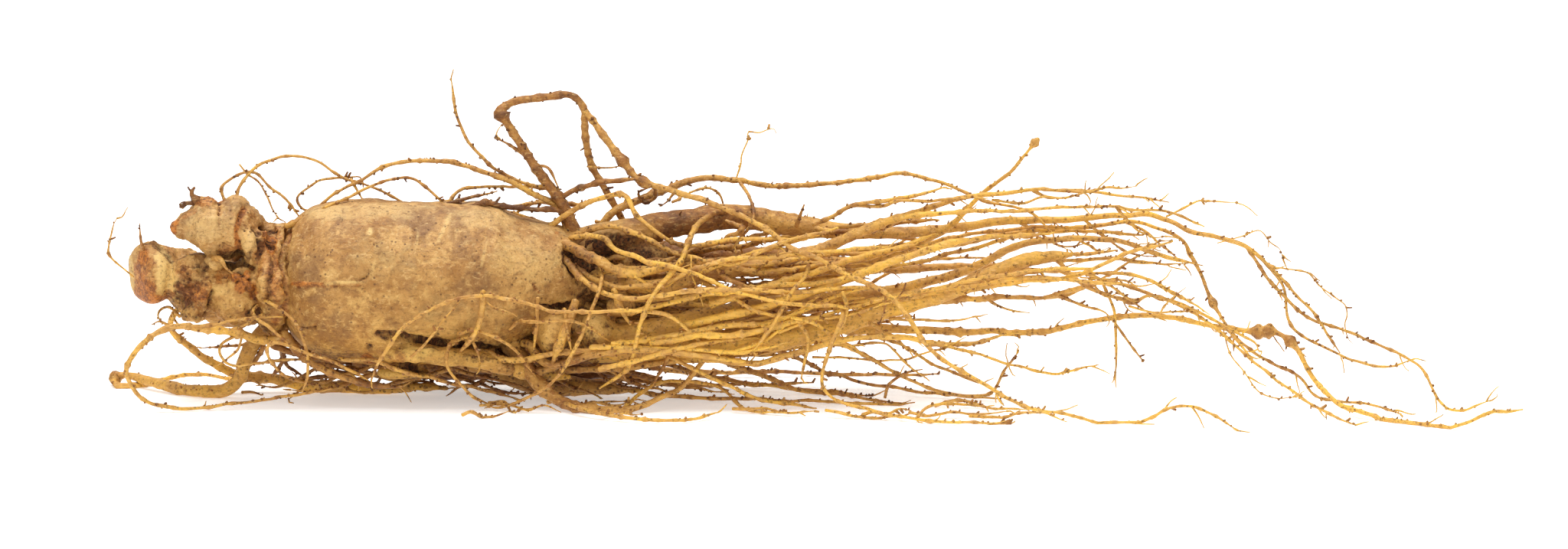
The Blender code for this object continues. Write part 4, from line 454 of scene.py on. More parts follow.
# Swellings melted into the skin: (x, depth, seen height, half sizes along X, Y and Z).
SWELLINGS = (
    (-51.3, -2.5, 40.2, 2.7, 4, 2.3), (-54.3, -7, 37.2, 1.8, 3, 3.6), (-51.2, -9.5, 33.5, 1.6, 3, 5),
    (-53.6, -10.5, 26, 1.7, 3.2, 6), (-61, -2.5, 45.8, 2.8, 4.2, 2.4), (-68.2, -3.6, 45.6, 2.5, 3.4, 2.1),
    (-66.6, -7.2, 40, 4.6, 4, 4.8), (-57.6, -8.6, 35.8, 1.9, 3, 4.6), (-59.6, -9.6, 28, 3.4, 2.8, 3.2),
    (-61.2, -9.4, 22, 5.4, 4.2, 4.6), (-68.4, -9, 24.4, 1.9, 3.2, 4.8), (-71, -8, 20.4, 3.6, 3.6, 2.4),
    (-66, -7.6, 32.2, 2.2, 3.4, 1.4), (13.5, -9, 15.5, 4.8, 7, 5.6), (23.6, -8, 16, 5.2, 6.6, 5.2),
    (29, -9, 22.4, 3.6, 5, 3), (-20, -12.5, 10.8, 7.6, 4.4, 2.9), (-22, -10.5, 6.4, 6.4, 3.4, 1.7),
    (-30.2, -9.4, 9.7, 1.3, 2.8, 1.4), (33, 3, 33.6, 7, 7, 4.2),
)
# The rhizome is melted by itself, finer than the barrel: its swellings lie left of HEAD_END.
HEAD_END = -50.0
HEAD_VOXEL = 0.34
VOXEL = 0.47
# Rings along and points round the barrel, the lumps, the bud stub and the swellings.
BARREL_GRID = (120, 96)
LUMP_GRID = (40, 40)
STUB_GRID = (36, 48)
SWELLING_GRID = (16, 20)

# How many there are of each kind of strand and of the fine furrows, and the seeds of their draws.
SHEAF_COUNT = 10
FINE_SHEAF_COUNT = 20
MANE_COUNT = 15
UNDER_COUNT = 20
BACK_COUNT = 30
CLUTTER_COUNT = 12
TANGLE_COUNT = 28
FINE_FURROWS = 46
SHEAF_SEED = 7
SKIN_SEED = 5
HAIR_SEED = 23
# Distances along a root between its points, knots, pegs and hairs.
FINE_SPACING = 0.7
KNOT_GAP = 2.5
NUB_GAP = 2.4
HAIR_GAP = 13.0
# The length of a hair's steps, its radius at the tip and the least height of its line.
HAIR_STEP = 0.9
HAIR_TIP = 0.09
HAIR_LIFT = 0.14

# Pits in the front of the skin: (x, seen height, radius, depth, how dark, with earth and painted shade in
# the hollow).
PITS = (
    (-29.5, 12.3, 1, 0.7, 0.9), (-17.2, 37, 0.9, 0.2, 0.45), (-60.5, 32.2, 1.9, 3.2, 1),
    (-73.7, 23.6, 2.6, 1.7, 0.6), (-71, 27.6, 2, 1, 0.6), (-57.1, 39.8, 0.8, 0.4, 0.8),
    (-53, 36.4, 0.9, 0.6, 0.5), (-59.6, 29.4, 0.7, 0.8, 0.9), (-57.4, 28.2, 0.6, 0.7, 0.85),
    (-61, 27.4, 0.6, 0.6, 0.8), (-58.4, 26.2, 0.6, 0.6, 0.8), (-54.6, 41, 0.6, 0.4, 0.6),
    (-57.4, 34, 1.2, 0.8, 0.6), (-69, 30.6, 1.6, 0.8, 0.6), (19.6, 32.4, 3, 3, 0.95),
    (17.6, 35.4, 1.6, 1.4, 0.9), (22, 29, 2.4, 2, 0.9), (21, 38.6, 1.6, 0.9, 0.8),
    (9.2, 26.5, 0.7, 0.3, 0.6), (-25.5, 43.8, 0.5, 0.25, 0.5), (-31, 26.2, 0.5, 0.2, 0.8),
    (26, 17.4, 0.8, 0.5, 0.7), (-47.6, 20.2, 0.6, 0.3, 0.5),
)
# Scars: (end, end, half width, lift, how dark with dirt and painted shade, how rusty). A lift below zero is
# a crack. The wide dark cracks along the barrel's underside stand for its shadow line: painted shadow.
SCARS = (
    ((-47.8, 27.2), (-40.2, 27.3), 0.32, 0.45, 0, 0.75), ((-40.2, 27.3), (-30.4, 27.6), 0.34, 0.5, 0, 0.1),
    ((-47, 26.5), (-31.5, 26.8), 0.24, -0.3, 0.42, 0.5), ((-31.8, 27.9), (-30.2, 28.8), 0.26, -0.3, 0.6, 0),
    ((-30.2, 28.8), (-29.2, 30.8), 0.26, -0.3, 0.6, 0), ((-45.4, 17), (-42.5, 16.9), 0.26, -0.35, 0.6, 0),
    ((-42.5, 16.9), (-41.7, 18.4), 0.26, -0.3, 0.5, 0), ((8.3, 27.2), (10, 25.3), 0.3, -0.3, 0.5, 0.6),
    ((-66.6, 25.6), (-67.4, 22), 0.4, -0.8, 0.6, 0.3), ((-67.4, 22), (-68.8, 18.2), 0.4, -0.8, 0.6, 0.3),
    ((-65.6, 47.4), (-64.8, 43.8), 0.4, -0.6, 0.5, 0.5),
    ((-64.8, 43.8), (-64.9, 40.8), 0.3, -0.3, 0.3, 0.3), ((-13.4, 37), (-10.6, 43.4), 0.45, 0.2, 0, 0),
    ((-3.4, 31), (-2, 38), 0.5, 0.16, 0, 0), ((-18.8, 34), (-18, 39.6), 0.4, 0.16, 0.1, 0),
    ((-36.2, 41.8), (-36, 45.2), 0.35, -0.18, 0.4, 0), ((-82.6, 35.8), (-80.4, 36.7), 0.3, 0.35, 0, 0.5),
    ((-74.6, 30), (-72, 28.4), 0.5, -0.6, 0.6, 0.5), ((-59.2, 44.5), (-61, 39.4), 0.5, -0.35, 0.2, 0.9),
    ((-61, 39.4), (-60.2, 35.2), 0.5, -0.35, 0.25, 0.9),
    ((-53.6, 33.8), (-52.9, 28.6), 0.9, -0.7, 0.6, 0.5),
    ((-52.9, 28.6), (-53.9, 22.4), 0.9, -0.9, 0.75, 0.5),
    ((-48.6, 39.4), (-49.5, 34.4), 0.45, -0.9, 0.4, 0.5),
    ((-49.5, 34.4), (-49.9, 28), 0.45, -0.9, 0.4, 0.5), ((-49.9, 28), (-49.6, 19.6), 0.45, -0.9, 0.45, 0.5),
    ((-54.6, 40.8), (-55.4, 35.6), 0.5, -0.5, 0.4, 0.7), ((-27.6, 15.8), (-22, 14.6), 0.7, -1.3, 0.8, 0.3),
    ((-22, 14.6), (-8, 12.4), 0.8, -1.8, 0.9, 0.2), ((-8, 12.4), (4, 11.2), 1, -1.6, 1, 0),
    ((10.2, 21.8), (16.4, 21.6), 0.8, -1.5, 1, 0), ((16.4, 21.6), (20.4, 23.6), 0.8, -1.2, 1, 0),
    ((18.6, 21), (18.8, 11), 0.8, -1.3, 0.95, 0), ((-24, 8.2), (-16.6, 7.4), 0.6, -1, 0.95, 0),
    ((-19, 40), (-18.4, 35.4), 0.3, -0.2, 0.35, 0), ((-1.8, 39.6), (-4.4, 32), 0.3, -0.16, 0.25, 0),
    ((-34, 33.4), (-33, 30.8), 0.3, -0.16, 0.35, 0),
)
# Rust stains, pale places, greyish places, dark patches that lie on skin and roots alike, which are earth
# and painted shade under the barrel, in the pits of the rhizome and in the gaps among the legs, and browner
# stretches of the roots behind the front ones, partly painted shade: (x, seen height, half length, half
# width, strength), some with a turn in radians before the strength.
RUST_SPOTS = (
    (-83.2, 33, 1.9, 3, -0.35, 0.8), (-84, 29.4, 1.9, 3.8, 0.7), (-82.6, 25.6, 2.9, 2.8, 0.3, 1),
    (-80.6, 23.4, 3, 1.6, 1), (-82.6, 29, 3.2, 6.2, 0.5), (-59.4, 28.4, 3.6, 3.4, 0.4, 1),
    (-56.8, 24.8, 1.4, 2, 0.4, 0.8), (-76, 40.8, 1.3, 2, 0.9), (-30.3, 9.9, 1.6, 1.4, 0.8),
    (-71.8, 25.4, 3.8, 3.2, 0.3, 0.7), (-67.4, 46.6, 3, 1.6, 0.6), (-53.4, 37.2, 2, 2.4, 0.85),
    (-51.4, 39.6, 2.6, 2.6, 0.5), (-51.6, 29, 1.6, 9, 0.55), (-55, 33, 1.6, 7, 0.42),
    (-63.8, 28.6, 2.6, 2, -0.5, 0.5), (-72.6, 30.4, 2.4, 3, 0.5), (-57, 41, 2.4, 3, 0.35),
    (-70, 22, 2.4, 3.4, 0.35), (14, 39.3, 0.7, 0.6, 0.5), (-77, 24.8, 1.4, 1.4, 0.6), (-22, 10, 4, 2, 0.3),
    (-44, 27, 4, 0.6, 0.5), (-62, 20.4, 5, 2, 0.25), (-72.4, 44, 2.6, 1, 0.3, 0.35), (-63, 35, 4, 1.4, 0.4),
)
PALE_SPOTS = (
    (-62, 22, 4.6, 3.6, 0.2), (-67.4, 40.4, 5.2, 4.6, 0.48), (-77.8, 30.4, 2.6, 6, 1),
    (-86.2, 28.4, 0.8, 6, 0.7), (-12.2, 40.4, 0.6, 3.8, -0.41, 0.6), (-2.7, 34.5, 0.6, 4, -0.2, 0.5),
    (-28.6, 30.6, 0.7, 3, -0.2, 0.5), (-18.6, 36.8, 0.5, 3.4, -0.14, 0.4), (-57.6, 37, 2.4, 4.2, 0.5),
    (6.6, 33.4, 9, 7, 0.36), (-10, 19.4, 17, 4.6, 0.25), (-29.5, 39.5, 0.7, 1.1, 0.9),
    (12, 40.4, 7, 2.2, 0.4), (-18.6, 11.4, 5.6, 2, 0.6), (-21.6, 6.4, 5, 1.2, 0.5), (24, 17.2, 5, 3.6, 0.4),
    (13, 16.2, 4.4, 3.8, 0.3), (-26, 33, 9, 8, 0.25), (-39, 44.6, 9, 2.4, 0.5),
    (-51.2, 40.8, 2.2, 1.6, 0.5), (-35.4, 27.5, 4.6, 0.4, 0.9), (-26, 44.6, 12, 2.4, 0.45),
    (-65.6, 25.6, 3, 1.4, 0.5), (-53.8, 36, 0.8, 1.4, 0.5), (-2, 42.6, 9, 2.6, 0.4),
)
GREY_SPOTS = (
    (-45, 32, 4.6, 5, 0.8), (-44.6, 25.4, 3.8, 3, 0.7), (-35, 41.6, 3.4, 3.2, 0.55),
    (-22, 42, 4.8, 3.2, 0.6), (-16.4, 41.6, 3.8, 4.6, 0.8), (-9.6, 39.4, 2.8, 4, 0.6),
    (-4.4, 28.2, 3.6, 5.2, 0.8), (-9.6, 33.6, 3.4, 3, 0.5), (-37.6, 17.4, 5, 2.8, 0.7),
    (6.6, 20.8, 3, 3, 0.7), (3, 16.8, 4.6, 2.6, 0.6), (-20.6, 30, 2, 4.4, 0.5), (-37.6, 12.6, 3, 3.2, 0.6),
    (-62.6, 45.8, 2.6, 1.8, 0.6), (-72, 43.4, 4, 1.6, 0.5), (-31, 22.6, 3.4, 2.2, 0.4),
    (-6.6, 43.8, 4.6, 1.8, 0.5), (-24, 18, 4, 3, 0.45), (-34, 34, 3, 3.4, 0.35), (-12, 22, 5, 2.6, 0.35),
    (-69.4, 22, 2, 4, 0.8), (-69, 32.6, 4, 2.2, 0.7), (-52, 26, 1.6, 8, 0.6),
)
EARTH_AND_SHADE = (
    (20, 33, 4.6, 5, 1), (28, 36.6, 6, 3, 0.95), (38, 34.8, 9, 3.8, 1), (24, 23.6, 5, 2.4, 0.75),
    (-12, 12.6, 9, 1, 0.5), (-24, 15.4, 4.4, 1.2, 0.7), (2, 10.6, 9, 2.2, 0.85), (10, 8.6, 12, 3.6, 0.6),
    (-73.4, 23.6, 4.6, 4, 0.62), (-60.5, 32.3, 2.4, 1.8, 0.95), (-70.6, 29.6, 3.6, 3.6, 0.5),
    (-56.6, 20.6, 2, 2.4, 0.7), (-53.6, 23, 1.2, 6, 0.5), (20.5, 12, 4, 4, 0.5),
    (-72.6, 19.8, 3.6, 1.4, 0.5), (-64, 34.2, 4, 1, 0.5), (-46, 8, 12, 4, 0.5), (-14, 5, 8, 3, 0.6),
    (47, 34.4, 7, 2.4, 0.7), (-17, 14.2, 8, 2.2, 0.34), (-1, 11.6, 7, 3.2, 0.5), (33, 21, 5, 1.6, 0.5),
    (46, 21.4, 6, 1, 0.5), (33, 27.6, 7, 1.4, 0.5), (60, 28, 8, 1.2, 0.4),
)
BROWN_AND_SHADE = ((50, 42.6, 18, 5, 1), (28, 38.4, 8, 3, 0.5), (18, 44, 3, 6, 0.3))
# The size and strength of the noise that makes the edges of EARTH_AND_SHADE ragged.
EARTH_AND_SHADE_EDGE = (3.2, 0.5)
# Roots that are browner, below zero, or more golden than the rest, and whole kinds by their first word. The
# low tones of the under roots, the dark roots and the under and dark kinds are partly painted shade beneath
# and behind the barrel; the cover kind's higher tone is partly painted light on strands in front.
ROOT_TONES = {
    "arch": -0.18, "arch tie": -0.2, "hook root": 0.06, "front prop root": -0.1, "under root 1": -0.42,
    "under root 2": -0.4, "under root 3": -0.36, "under root 4": -0.4, "under root 5": -0.3,
    "under root 6": -0.36, "crown strand": -0.4, "hidden leg": -0.12, "floor runner": 0.2,
    "blunt leg": 0.06, "middle leg": 0.08, "arch runner": -0.02, "rear leg": 0.08, "torn scrap": -0.34,
    "torn curl": -0.5, "torn flap": -0.05, "hook tip": 0.2, "dark root 1": -0.3, "dark root 7": -0.3,
    "dark root 8": -0.3, "dark root 9": -0.3, "under barrel": -0.2, "left under leg": 0.14,
    "rear prop root": -0.2, "arch spur": -0.2, "arch twig": -0.15, "low 1": -0.04, "rhizome wisp 1": -0.3,
    "crown hair": -0.3, "dark drop": -0.4, "dark whisker 1": -0.5, "bare twig": -0.3,
    "dark whisker 2": -0.5, "dark curl": -0.3, "brown finger": -0.25, "nest curl 1": -0.25,
    "floor 10": -0.08, "rear floor 1": -0.1, "floor 11": -0.08, "long leg": 0.1, "knee root": 0.1,
    "hoop": 0.04, "fine wisp": 0.36,
}
KIND_TONES = {
    "cover": 0.14, "sheaf": 0.05, "mane": 0.05, "under": -0.12, "back": -0.02, "tangle": -0.06,
    "dark": -0.24,
}
# How much browner knots and pegs are than their root.
KNOT_TONE = -0.42
NUB_TONE = -0.36

# Lights in watts, aimed at LIT_MIDDLE in metres, the world's and the floor's own light, and the floor's half
# width in metres.
LIT_MIDDLE = (0.05, 0.0, 0.03)
TOP_POWER = 24.0
FRONT_POWER = 4.4
SIDE_POWER = 1.8
WORLD_STRENGTH = 0.38
FLOOR_GLOW = 0.4
FLOOR_REACH = 9.0


# Arrays and noise


def true_height(seen, depth):
    """Undo the tilt of the view: height = (seen - depth sin tilt) / cos tilt."""
    return (seen - depth * math.sin(VIEW_TILT)) / math.cos(VIEW_TILT)


def seen_height(points):
    """The height at which points are seen in the side view: z cos tilt + y sin tilt."""
    return points[:, 2] * math.cos(VIEW_TILT) + points[:, 1] * math.sin(VIEW_TILT)


def evenly(values, count):
    """A few values spread evenly over a number of points, with straight runs between them."""
    values = np.asarray(values, dtype=float)
    return np.interp(np.linspace(0.0, 1.0, count), np.linspace(0.0, 1.0, len(values)), values)


def unit(vectors):
    """Vectors divided by their lengths."""
    return vectors / np.maximum(np.linalg.norm(vectors, axis=-1, keepdims=True), 1e-9)


def lattice_value(cells, seed):
    """A repeatable value from 0 to 1 for each whole-number cell, by mixing its coordinates as integers."""
    cells = cells.astype(np.int64)
    mixed = cells[..., 0] * 73856093 ^ cells[..., 1] * 19349663 ^ cells[..., 2] * 83492791
    mixed = mixed ^ seed * 2654435761
    mixed = (mixed ^ (mixed >> 13)) * 1274126177 & 0x7FFFFFFF
    mixed = (mixed ^ (mixed >> 11)) * 668265263 & 0x7FFFFFFF
    return (mixed ^ (mixed >> 15)) / float(0x7FFFFFFF)


def noise(points, size, seed):
    """Smooth noise from -1 to 1: values at lattice corners, size apart, blended by 3u^2 - 2u^3."""
    scaled = np.asarray(points, dtype=float) / size
    cell = np.floor(scaled)
    u = scaled - cell
    u = u * u * (3 - 2 * u)
    total = 0.0
    for corner in range(8):
        offset = np.array([(corner >> axis) & 1 for axis in range(3)])
        weight = np.prod(np.where(offset == 1, u, 1 - u), axis=-1)
        total = total + weight * lattice_value(cell + offset, seed)
    return 2 * total - 1


def layered(points, size, layers, seed, fall=0.5):
    """Noise summed over layers, each half the size and fall times the strength of the last."""
    total, strength = 0.0, 1.0
    for layer in range(layers):
        total = total + strength * noise(points, size / 2**layer, seed + 17 * layer)
        strength *= fall
    return total


def bell(distance, width):
    """A bell of height 1: exp(-(distance / width)^2)."""
    return np.exp(-((distance / width) ** 2))


def step(value, low, high):
    """0 below low, 1 above high, and 3u^2 - 2u^3 between."""
    u = np.clip((value - low) / (high - low), 0.0, 1.0)
    return u * u * (3 - 2 * u)


# Routes and tubes


def lengths_along(centres):
    """Distance run along a route at each of its points."""
    return np.concatenate([[0.0], np.cumsum(np.linalg.norm(np.diff(centres, axis=0), axis=1))])


def smooth_route(points):
    """Catmull-Rom curve through the points, read off every FINE_SPACING along it."""
    points = np.asarray(points, dtype=float)
    ends = np.vstack([2 * points[0] - points[1], points, 2 * points[-1] - points[-2]])
    steps = np.linspace(0.0, len(points) - 1.0001, (len(points) - 1) * 24 + 1)
    index = steps.astype(int)
    u = (steps - index)[:, None]
    a, b, c, d = (ends[index + k] for k in range(4))
    square, cube = 2 * a - 5 * b + 4 * c - d, 3 * b - a - 3 * c + d
    fine = 0.5 * (2 * b + (c - a) * u + square * u**2 + cube * u**3)
    along = lengths_along(fine)
    count = max(4, int(round(along[-1] / FINE_SPACING)) + 1)
    at = np.linspace(0.0, along[-1], count)
    return np.stack([np.interp(at, along, fine[:, k]) for k in range(3)], axis=1)


def route_of(depths, side):
    """Side points and depths as true points."""
    side = np.asarray(side, dtype=float)
    depth = evenly(depths, len(side))
    return np.stack([side[:, 0], depth, true_height(side[:, 1], depth)], axis=1)


def drawn_in(centres, parent_line):
    """Move a route's first point onto its parent's line, and fade that move out along the route."""
    gaps = np.linalg.norm(parent_line - centres[0], axis=1)
    move = parent_line[np.argmin(gaps)] - centres[0]
    fade = np.clip(1 - lengths_along(centres) / DRAW_IN, 0.0, 1.0) ** 1.5
    return centres + fade[:, None] * move


def wavering(centres, girth, seed):
    """Small bends: straight runs of 3 to 9 mm and of 1.4 to 4 mm between random offsets, and a slow drift by
    noise. Stout roots waver less, and the foot stays where it is."""
    draw = np.random.default_rng(7000 + seed)
    along = lengths_along(centres)
    start = step(along, 1.5, 9.0)
    long_runs = np.cumsum(draw.uniform(3.0, 9.0, 200))
    short_runs = np.cumsum(draw.uniform(1.4, 4.0, 400))
    place = np.stack([along, np.full_like(along, seed * 3.7), np.zeros_like(along)], axis=1)
    moved = centres.copy()
    stoutness = np.clip(1.25 - girth / 4.0, 0.3, 1.0)
    for axis, strength in ((0, 0.25), (1, 0.7), (2, 0.62)):
        kinked = 0.62 * np.interp(along, long_runs, draw.uniform(-1.0, 1.0, 200))
        kinked += 0.24 * np.interp(along, short_runs, draw.uniform(-1.0, 1.0, 400))
        bends = 0.5 * noise(place, 9.0, seed + 31 * axis) + kinked
        moved[:, axis] += start * stoutness * strength * bends
    moved[:, 2] = np.maximum(moved[:, 2], girth / 2 + FLOOR_GAP)
    return moved


def closed_faces(rings, sides):
    """Quads between rings and triangles to a pole at each end, the poles being the last two points."""
    ring, side = np.meshgrid(np.arange(rings - 1), np.arange(sides), indexing="ij")
    here = ring * sides + side
    there = ring * sides + (side + 1) % sides
    quads = np.stack([here, there, there + sides, here + sides], axis=-1).reshape(-1, 4)
    rim = np.arange(sides)
    after = (rim + 1) % sides
    end = (rings - 1) * sides
    first = np.stack([np.full(sides, rings * sides), after, rim], axis=1)
    last = np.stack([np.full(sides, rings * sides + 1), end + rim, end + after], axis=1)
    return quads, np.vstack([first, last])


def tube(centres, radii, sides, ripple, seed):
    """A round section carried along a path: each ring is turned square to it by crossing with the depth
    axis, its radius is rippled by noise, and both ends close in a rounded tip."""
    tangents = unit(np.gradient(centres, axis=0))
    across = unit(np.cross(tangents, (0.0, 1.0, 0.02)))[:, None, :]
    other = np.cross(across[:, 0], tangents)[:, None, :]
    turn = (np.arange(sides) * math.tau / sides)[None, :, None]
    spokes = np.cos(turn) * across + np.sin(turn) * other
    base = centres[:, None, :] + radii[:, None, None] * spokes
    rough = 0.6 * noise(base, 1.3, seed) + 0.5 * noise(base, 3.1, seed + 5)
    rings = centres[:, None, :] + (radii[:, None] * (1 + ripple * rough))[:, :, None] * spokes
    tips = (centres[0] - tangents[0] * radii[0] * 0.5, centres[-1] + tangents[-1] * radii[-1] * 0.6)
    quads, corners = closed_faces(len(centres), sides)
    return np.vstack([rings.reshape(-1, 3), *tips]), quads[:, ::-1], corners[:, ::-1]


class Bundle:
    """Closed shapes gathered into one mesh, with a value or more kept at each point."""

    def __init__(self):
        self.points, self.quads, self.corners, self.marks, self.count = [], [], [], [], 0

    def add(self, points, quads, corners, marks):
        """Take in a shape, its faces counted on from the points already held."""
        self.points.append(points)
        self.quads.append(quads + self.count)
        self.corners.append(corners + self.count)
        self.marks.append(marks)
        self.count += len(points)

    def mesh(self, name, mark_names):
        """The gathered shapes as one mesh object."""
        marks = dict(zip(mark_names, np.vstack(self.marks).T))
        return mesh_piece(name, np.vstack(self.points), self.quads, self.corners, marks)


def set_marks(mesh, marks):
    """Write each mark into a float attribute of its name."""
    for key, values in marks.items():
        layer = mesh.attributes.get(key) or mesh.attributes.new(key, "FLOAT", "POINT")
        layer.data.foreach_set("value", values.astype(np.float32))


def mesh_piece(name, points, quads, corners, marks):
    """A mesh object from points of the side view, with a float attribute for each mark."""
    quads = np.vstack(quads)
    corners = np.vstack(corners)
    placed = (points - (REST_X, REST_Y, 0.0)) * MM
    mesh = bpy.data.meshes.new(name)
    mesh.vertices.add(len(placed))
    mesh.vertices.foreach_set("co", placed.ravel())
    loops = np.concatenate([quads.ravel(), corners.ravel()])
    mesh.loops.add(len(loops))
    mesh.loops.foreach_set("vertex_index", loops)
    starts = np.concatenate([np.arange(len(quads)) * 4, len(quads) * 4 + np.arange(len(corners)) * 3])
    mesh.polygons.add(len(starts))
    mesh.polygons.foreach_set("loop_start", starts)
    mesh.update(calc_edges=True)
    mesh.validate()
    set_marks(mesh, marks)
    mesh.shade_smooth()
    piece = bpy.data.objects.new(name, mesh)
    bpy.context.scene.collection.objects.link(piece)
    return piece


# The barrel and the rhizome


def smooth_table(at, known_x, known_y):
    """Values between known ones, eased by averaging straight-line readings either side of each place."""
    sign = 1.0 if known_x[-1] > known_x[0] else -1.0
    reach = np.linspace(-1.3, 1.3, 9)
    weight = 1 - np.abs(reach) / 1.6
    read = [np.interp(sign * (at + r), sign * known_x, known_y) * w for r, w in zip(reach, weight)]
    return np.sum(read, axis=0) / weight.sum()


def loft(stations, depth, height, half_y, half_z, sides, lobes):
    """Rings along X about a middle depth and height: ovals of half sizes half_y and half_z, scaled by
    lobes(turn, x)."""
    turn = (np.arange(sides) * math.tau / sides)[None, :]
    grow = lobes(turn, stations[:, None])
    return np.stack([
        np.broadcast_to(stations[:, None], grow.shape),
        depth[:, None] + half_y[:, None] * grow * np.cos(turn),
        height[:, None] + half_z[:, None] * grow * np.sin(turn),
    ], axis=-1)


def closed(rings, ends):
    """Rings and two poles as a closed shape: points, quads and triangles."""
    return np.vstack([rings.reshape(-1, 3), ends]), *closed_faces(*rings.shape[:2])


def barrel_shape():
    """The barrel's rings: tops and bottoms follow the side view, and the section has two, three and five low
    lobes laid over one another."""
    table = np.asarray(BARREL)
    rings, sides = BARREL_GRID
    stations = np.linspace(table[0, 0], table[-1, 0], rings)
    top, bottom = (smooth_table(stations, table[:, 0], table[:, k]) for k in (1, 2))
    radius = (top - bottom) / 2
    middle = (top + bottom) / 2 / math.cos(VIEW_TILT)

    def lobes(turn, x):
        return (1 + 0.016 * np.sin(2 * turn + 0.03 * x) + 0.012 * np.sin(3 * turn - 0.05 * x + 1.0)
                + 0.007 * np.sin(5 * turn + 0.11 * x))

    points = loft(stations, stations * 0, middle, radius, radius, sides, lobes)
    return closed(points, [(stations[0] - 0.6, 0, middle[0]), (stations[-1] + 0.8, 0, middle[-1])])


def lump_shape(sections):
    """Oval sections lofted along X, with three low lobes."""
    table = np.asarray(sections)
    rings, sides = LUMP_GRID
    stations = np.linspace(table[0, 0], table[-1, 0], rings)
    top, bottom, depth, width = (smooth_table(stations, table[:, 0], table[:, k]) for k in range(1, 5))
    half = (top - bottom) / 2
    middle = true_height((top + bottom) / 2, depth)

    def lobes(turn, x):
        return 1 + 0.03 * np.sin(3 * turn + 0.5 * x)

    points = loft(stations, depth, middle, half * width, half, sides, lobes)
    lead = np.sign(table[-1, 0] - table[0, 0])
    return closed(points, [(stations[0] - lead * 0.6, depth[0], middle[0]),
                           (stations[-1] + lead * half[-1] * 0.4, depth[-1], middle[-1])])


def stub_shape():
    """The bud stub: a profile turned about its own axis, a little oval, with a low dome at its end."""
    axis = unit(np.asarray(STUB_AXIS))
    across = unit(np.cross(axis, (0.0, 0.0, 1.0)))
    upright = np.cross(across, axis)
    profile = np.asarray(BUD_PROFILE)
    rings, sides = STUB_GRID
    fine = np.linspace(0, len(profile) - 1, rings)
    distance, radius = (np.interp(fine, np.arange(len(profile)), profile[:, k]) for k in (0, 1))
    turn = np.arange(sides) * math.tau / sides
    foot = np.asarray(STUB_FOOT)
    oval = 1 + 0.05 * np.sin(2 * turn + 0.6) + 0.03 * np.sin(5 * turn)
    spokes = np.cos(turn)[None, :, None] * across + np.sin(turn)[None, :, None] * upright
    points = foot + distance[:, None, None] * axis + (radius[:, None] * oval[None, :])[:, :, None] * spokes
    return closed(points, [foot + axis * (profile[0, 0] - 0.5), foot + axis * (profile[-1, 0] + 0.05)])


def swelling_shape(x, depth, seen, half_x, half_y, half_z):
    """An oval ball: rings of radius sqrt(1 - along^2), scaled by the half sizes."""
    rings, sides = SWELLING_GRID
    along = np.linspace(-1.0, 1.0, rings)[:, None]
    around = np.sqrt(1 - along**2 * 0.995)
    turn = (np.arange(sides) * math.tau / sides)[None, :]
    height = true_height(seen, depth)
    points = np.stack([
        np.broadcast_to(x + half_x * along, (rings, sides)),
        depth + half_y * around * np.cos(turn),
        height + half_z * around * np.sin(turn),
    ], axis=-1)
    return closed(points, [(x - half_x, depth, height), (x + half_x, depth, height)])


def leg_base(name, lines):
    """The thick end of a leg, narrowing to where the leg's own tube takes over."""
    centres, girth = lines[name]
    along = lengths_along(centres)
    keep = along < LEG_BASES[name]
    taper = 1 - 0.35 * step(along[keep], LEG_BASES[name] - 9.0, LEG_BASES[name])
    return tube(centres[keep], girth[keep] / 2 * taper, 14, 0.0, 1)


def melted(name, shapes, voxel):
    """Closed shapes melted into one skin by a voxel remesh, and eased."""
    bundle = Bundle()
    for points, quads, corners in shapes:
        bundle.add(points, quads, corners, np.zeros((len(points), 0)))
    piece = bundle.mesh(name, ())
    melt = piece.modifiers.new("melt", "REMESH")
    melt.mode = "VOXEL"
    melt.voxel_size = voxel * MM
    ease = piece.modifiers.new("ease", "SMOOTH")
    ease.factor = 0.5
    ease.iterations = 7
    depsgraph = bpy.context.evaluated_depsgraph_get()
    made = bpy.data.meshes.new_from_object(piece.evaluated_get(depsgraph))
    piece.modifiers.clear()
    piece.data = made
    return piece


def melted_head():
    """The rhizome: its lumps, the bud stub and the ring that sits against the barrel."""
    shapes = [stub_shape()]
    shapes += [lump_shape(s) for s in (COLLAR, UPPER_KNOB, LOWER_LUMP, BACK_LUMP)]
    shapes += [swelling_shape(*s) for s in SWELLINGS if s[0] < HEAD_END]
    return melted(HEAD, shapes, HEAD_VOXEL)


def melted_body(lines):
    """The barrel and the thick ends of the legs."""
    shapes = [barrel_shape()]
    shapes += [swelling_shape(*s) for s in SWELLINGS if s[0] >= HEAD_END]
    shapes += [leg_base(name, lines) for name in LEG_BASES]
    return melted(SKIN, shapes, VOXEL)


def read_mesh(mesh):
    """Points in the side view's frame, edges and triangles, as arrays."""
    points = np.empty(len(mesh.vertices) * 3)
    mesh.vertices.foreach_get("co", points)
    edges = np.empty(len(mesh.edges) * 2, dtype=np.int64)
    mesh.edges.foreach_get("vertices", edges)
    mesh.calc_loop_triangles()
    triangles = np.empty(len(mesh.loop_triangles) * 3, dtype=np.int64)
    mesh.loop_triangles.foreach_get("vertices", triangles)
    points = points.reshape(-1, 3) / MM + (REST_X, REST_Y, 0.0)
    return points, edges.reshape(-1, 2), triangles.reshape(-1, 3)


def neighbour_mean(values, edges, counts):
    """The mean of each point's neighbours, gathered along the edges."""
    total = np.zeros_like(values)
    np.add.at(total, edges[:, 0], values[edges[:, 1]])
    np.add.at(total, edges[:, 1], values[edges[:, 0]])
    return total / counts


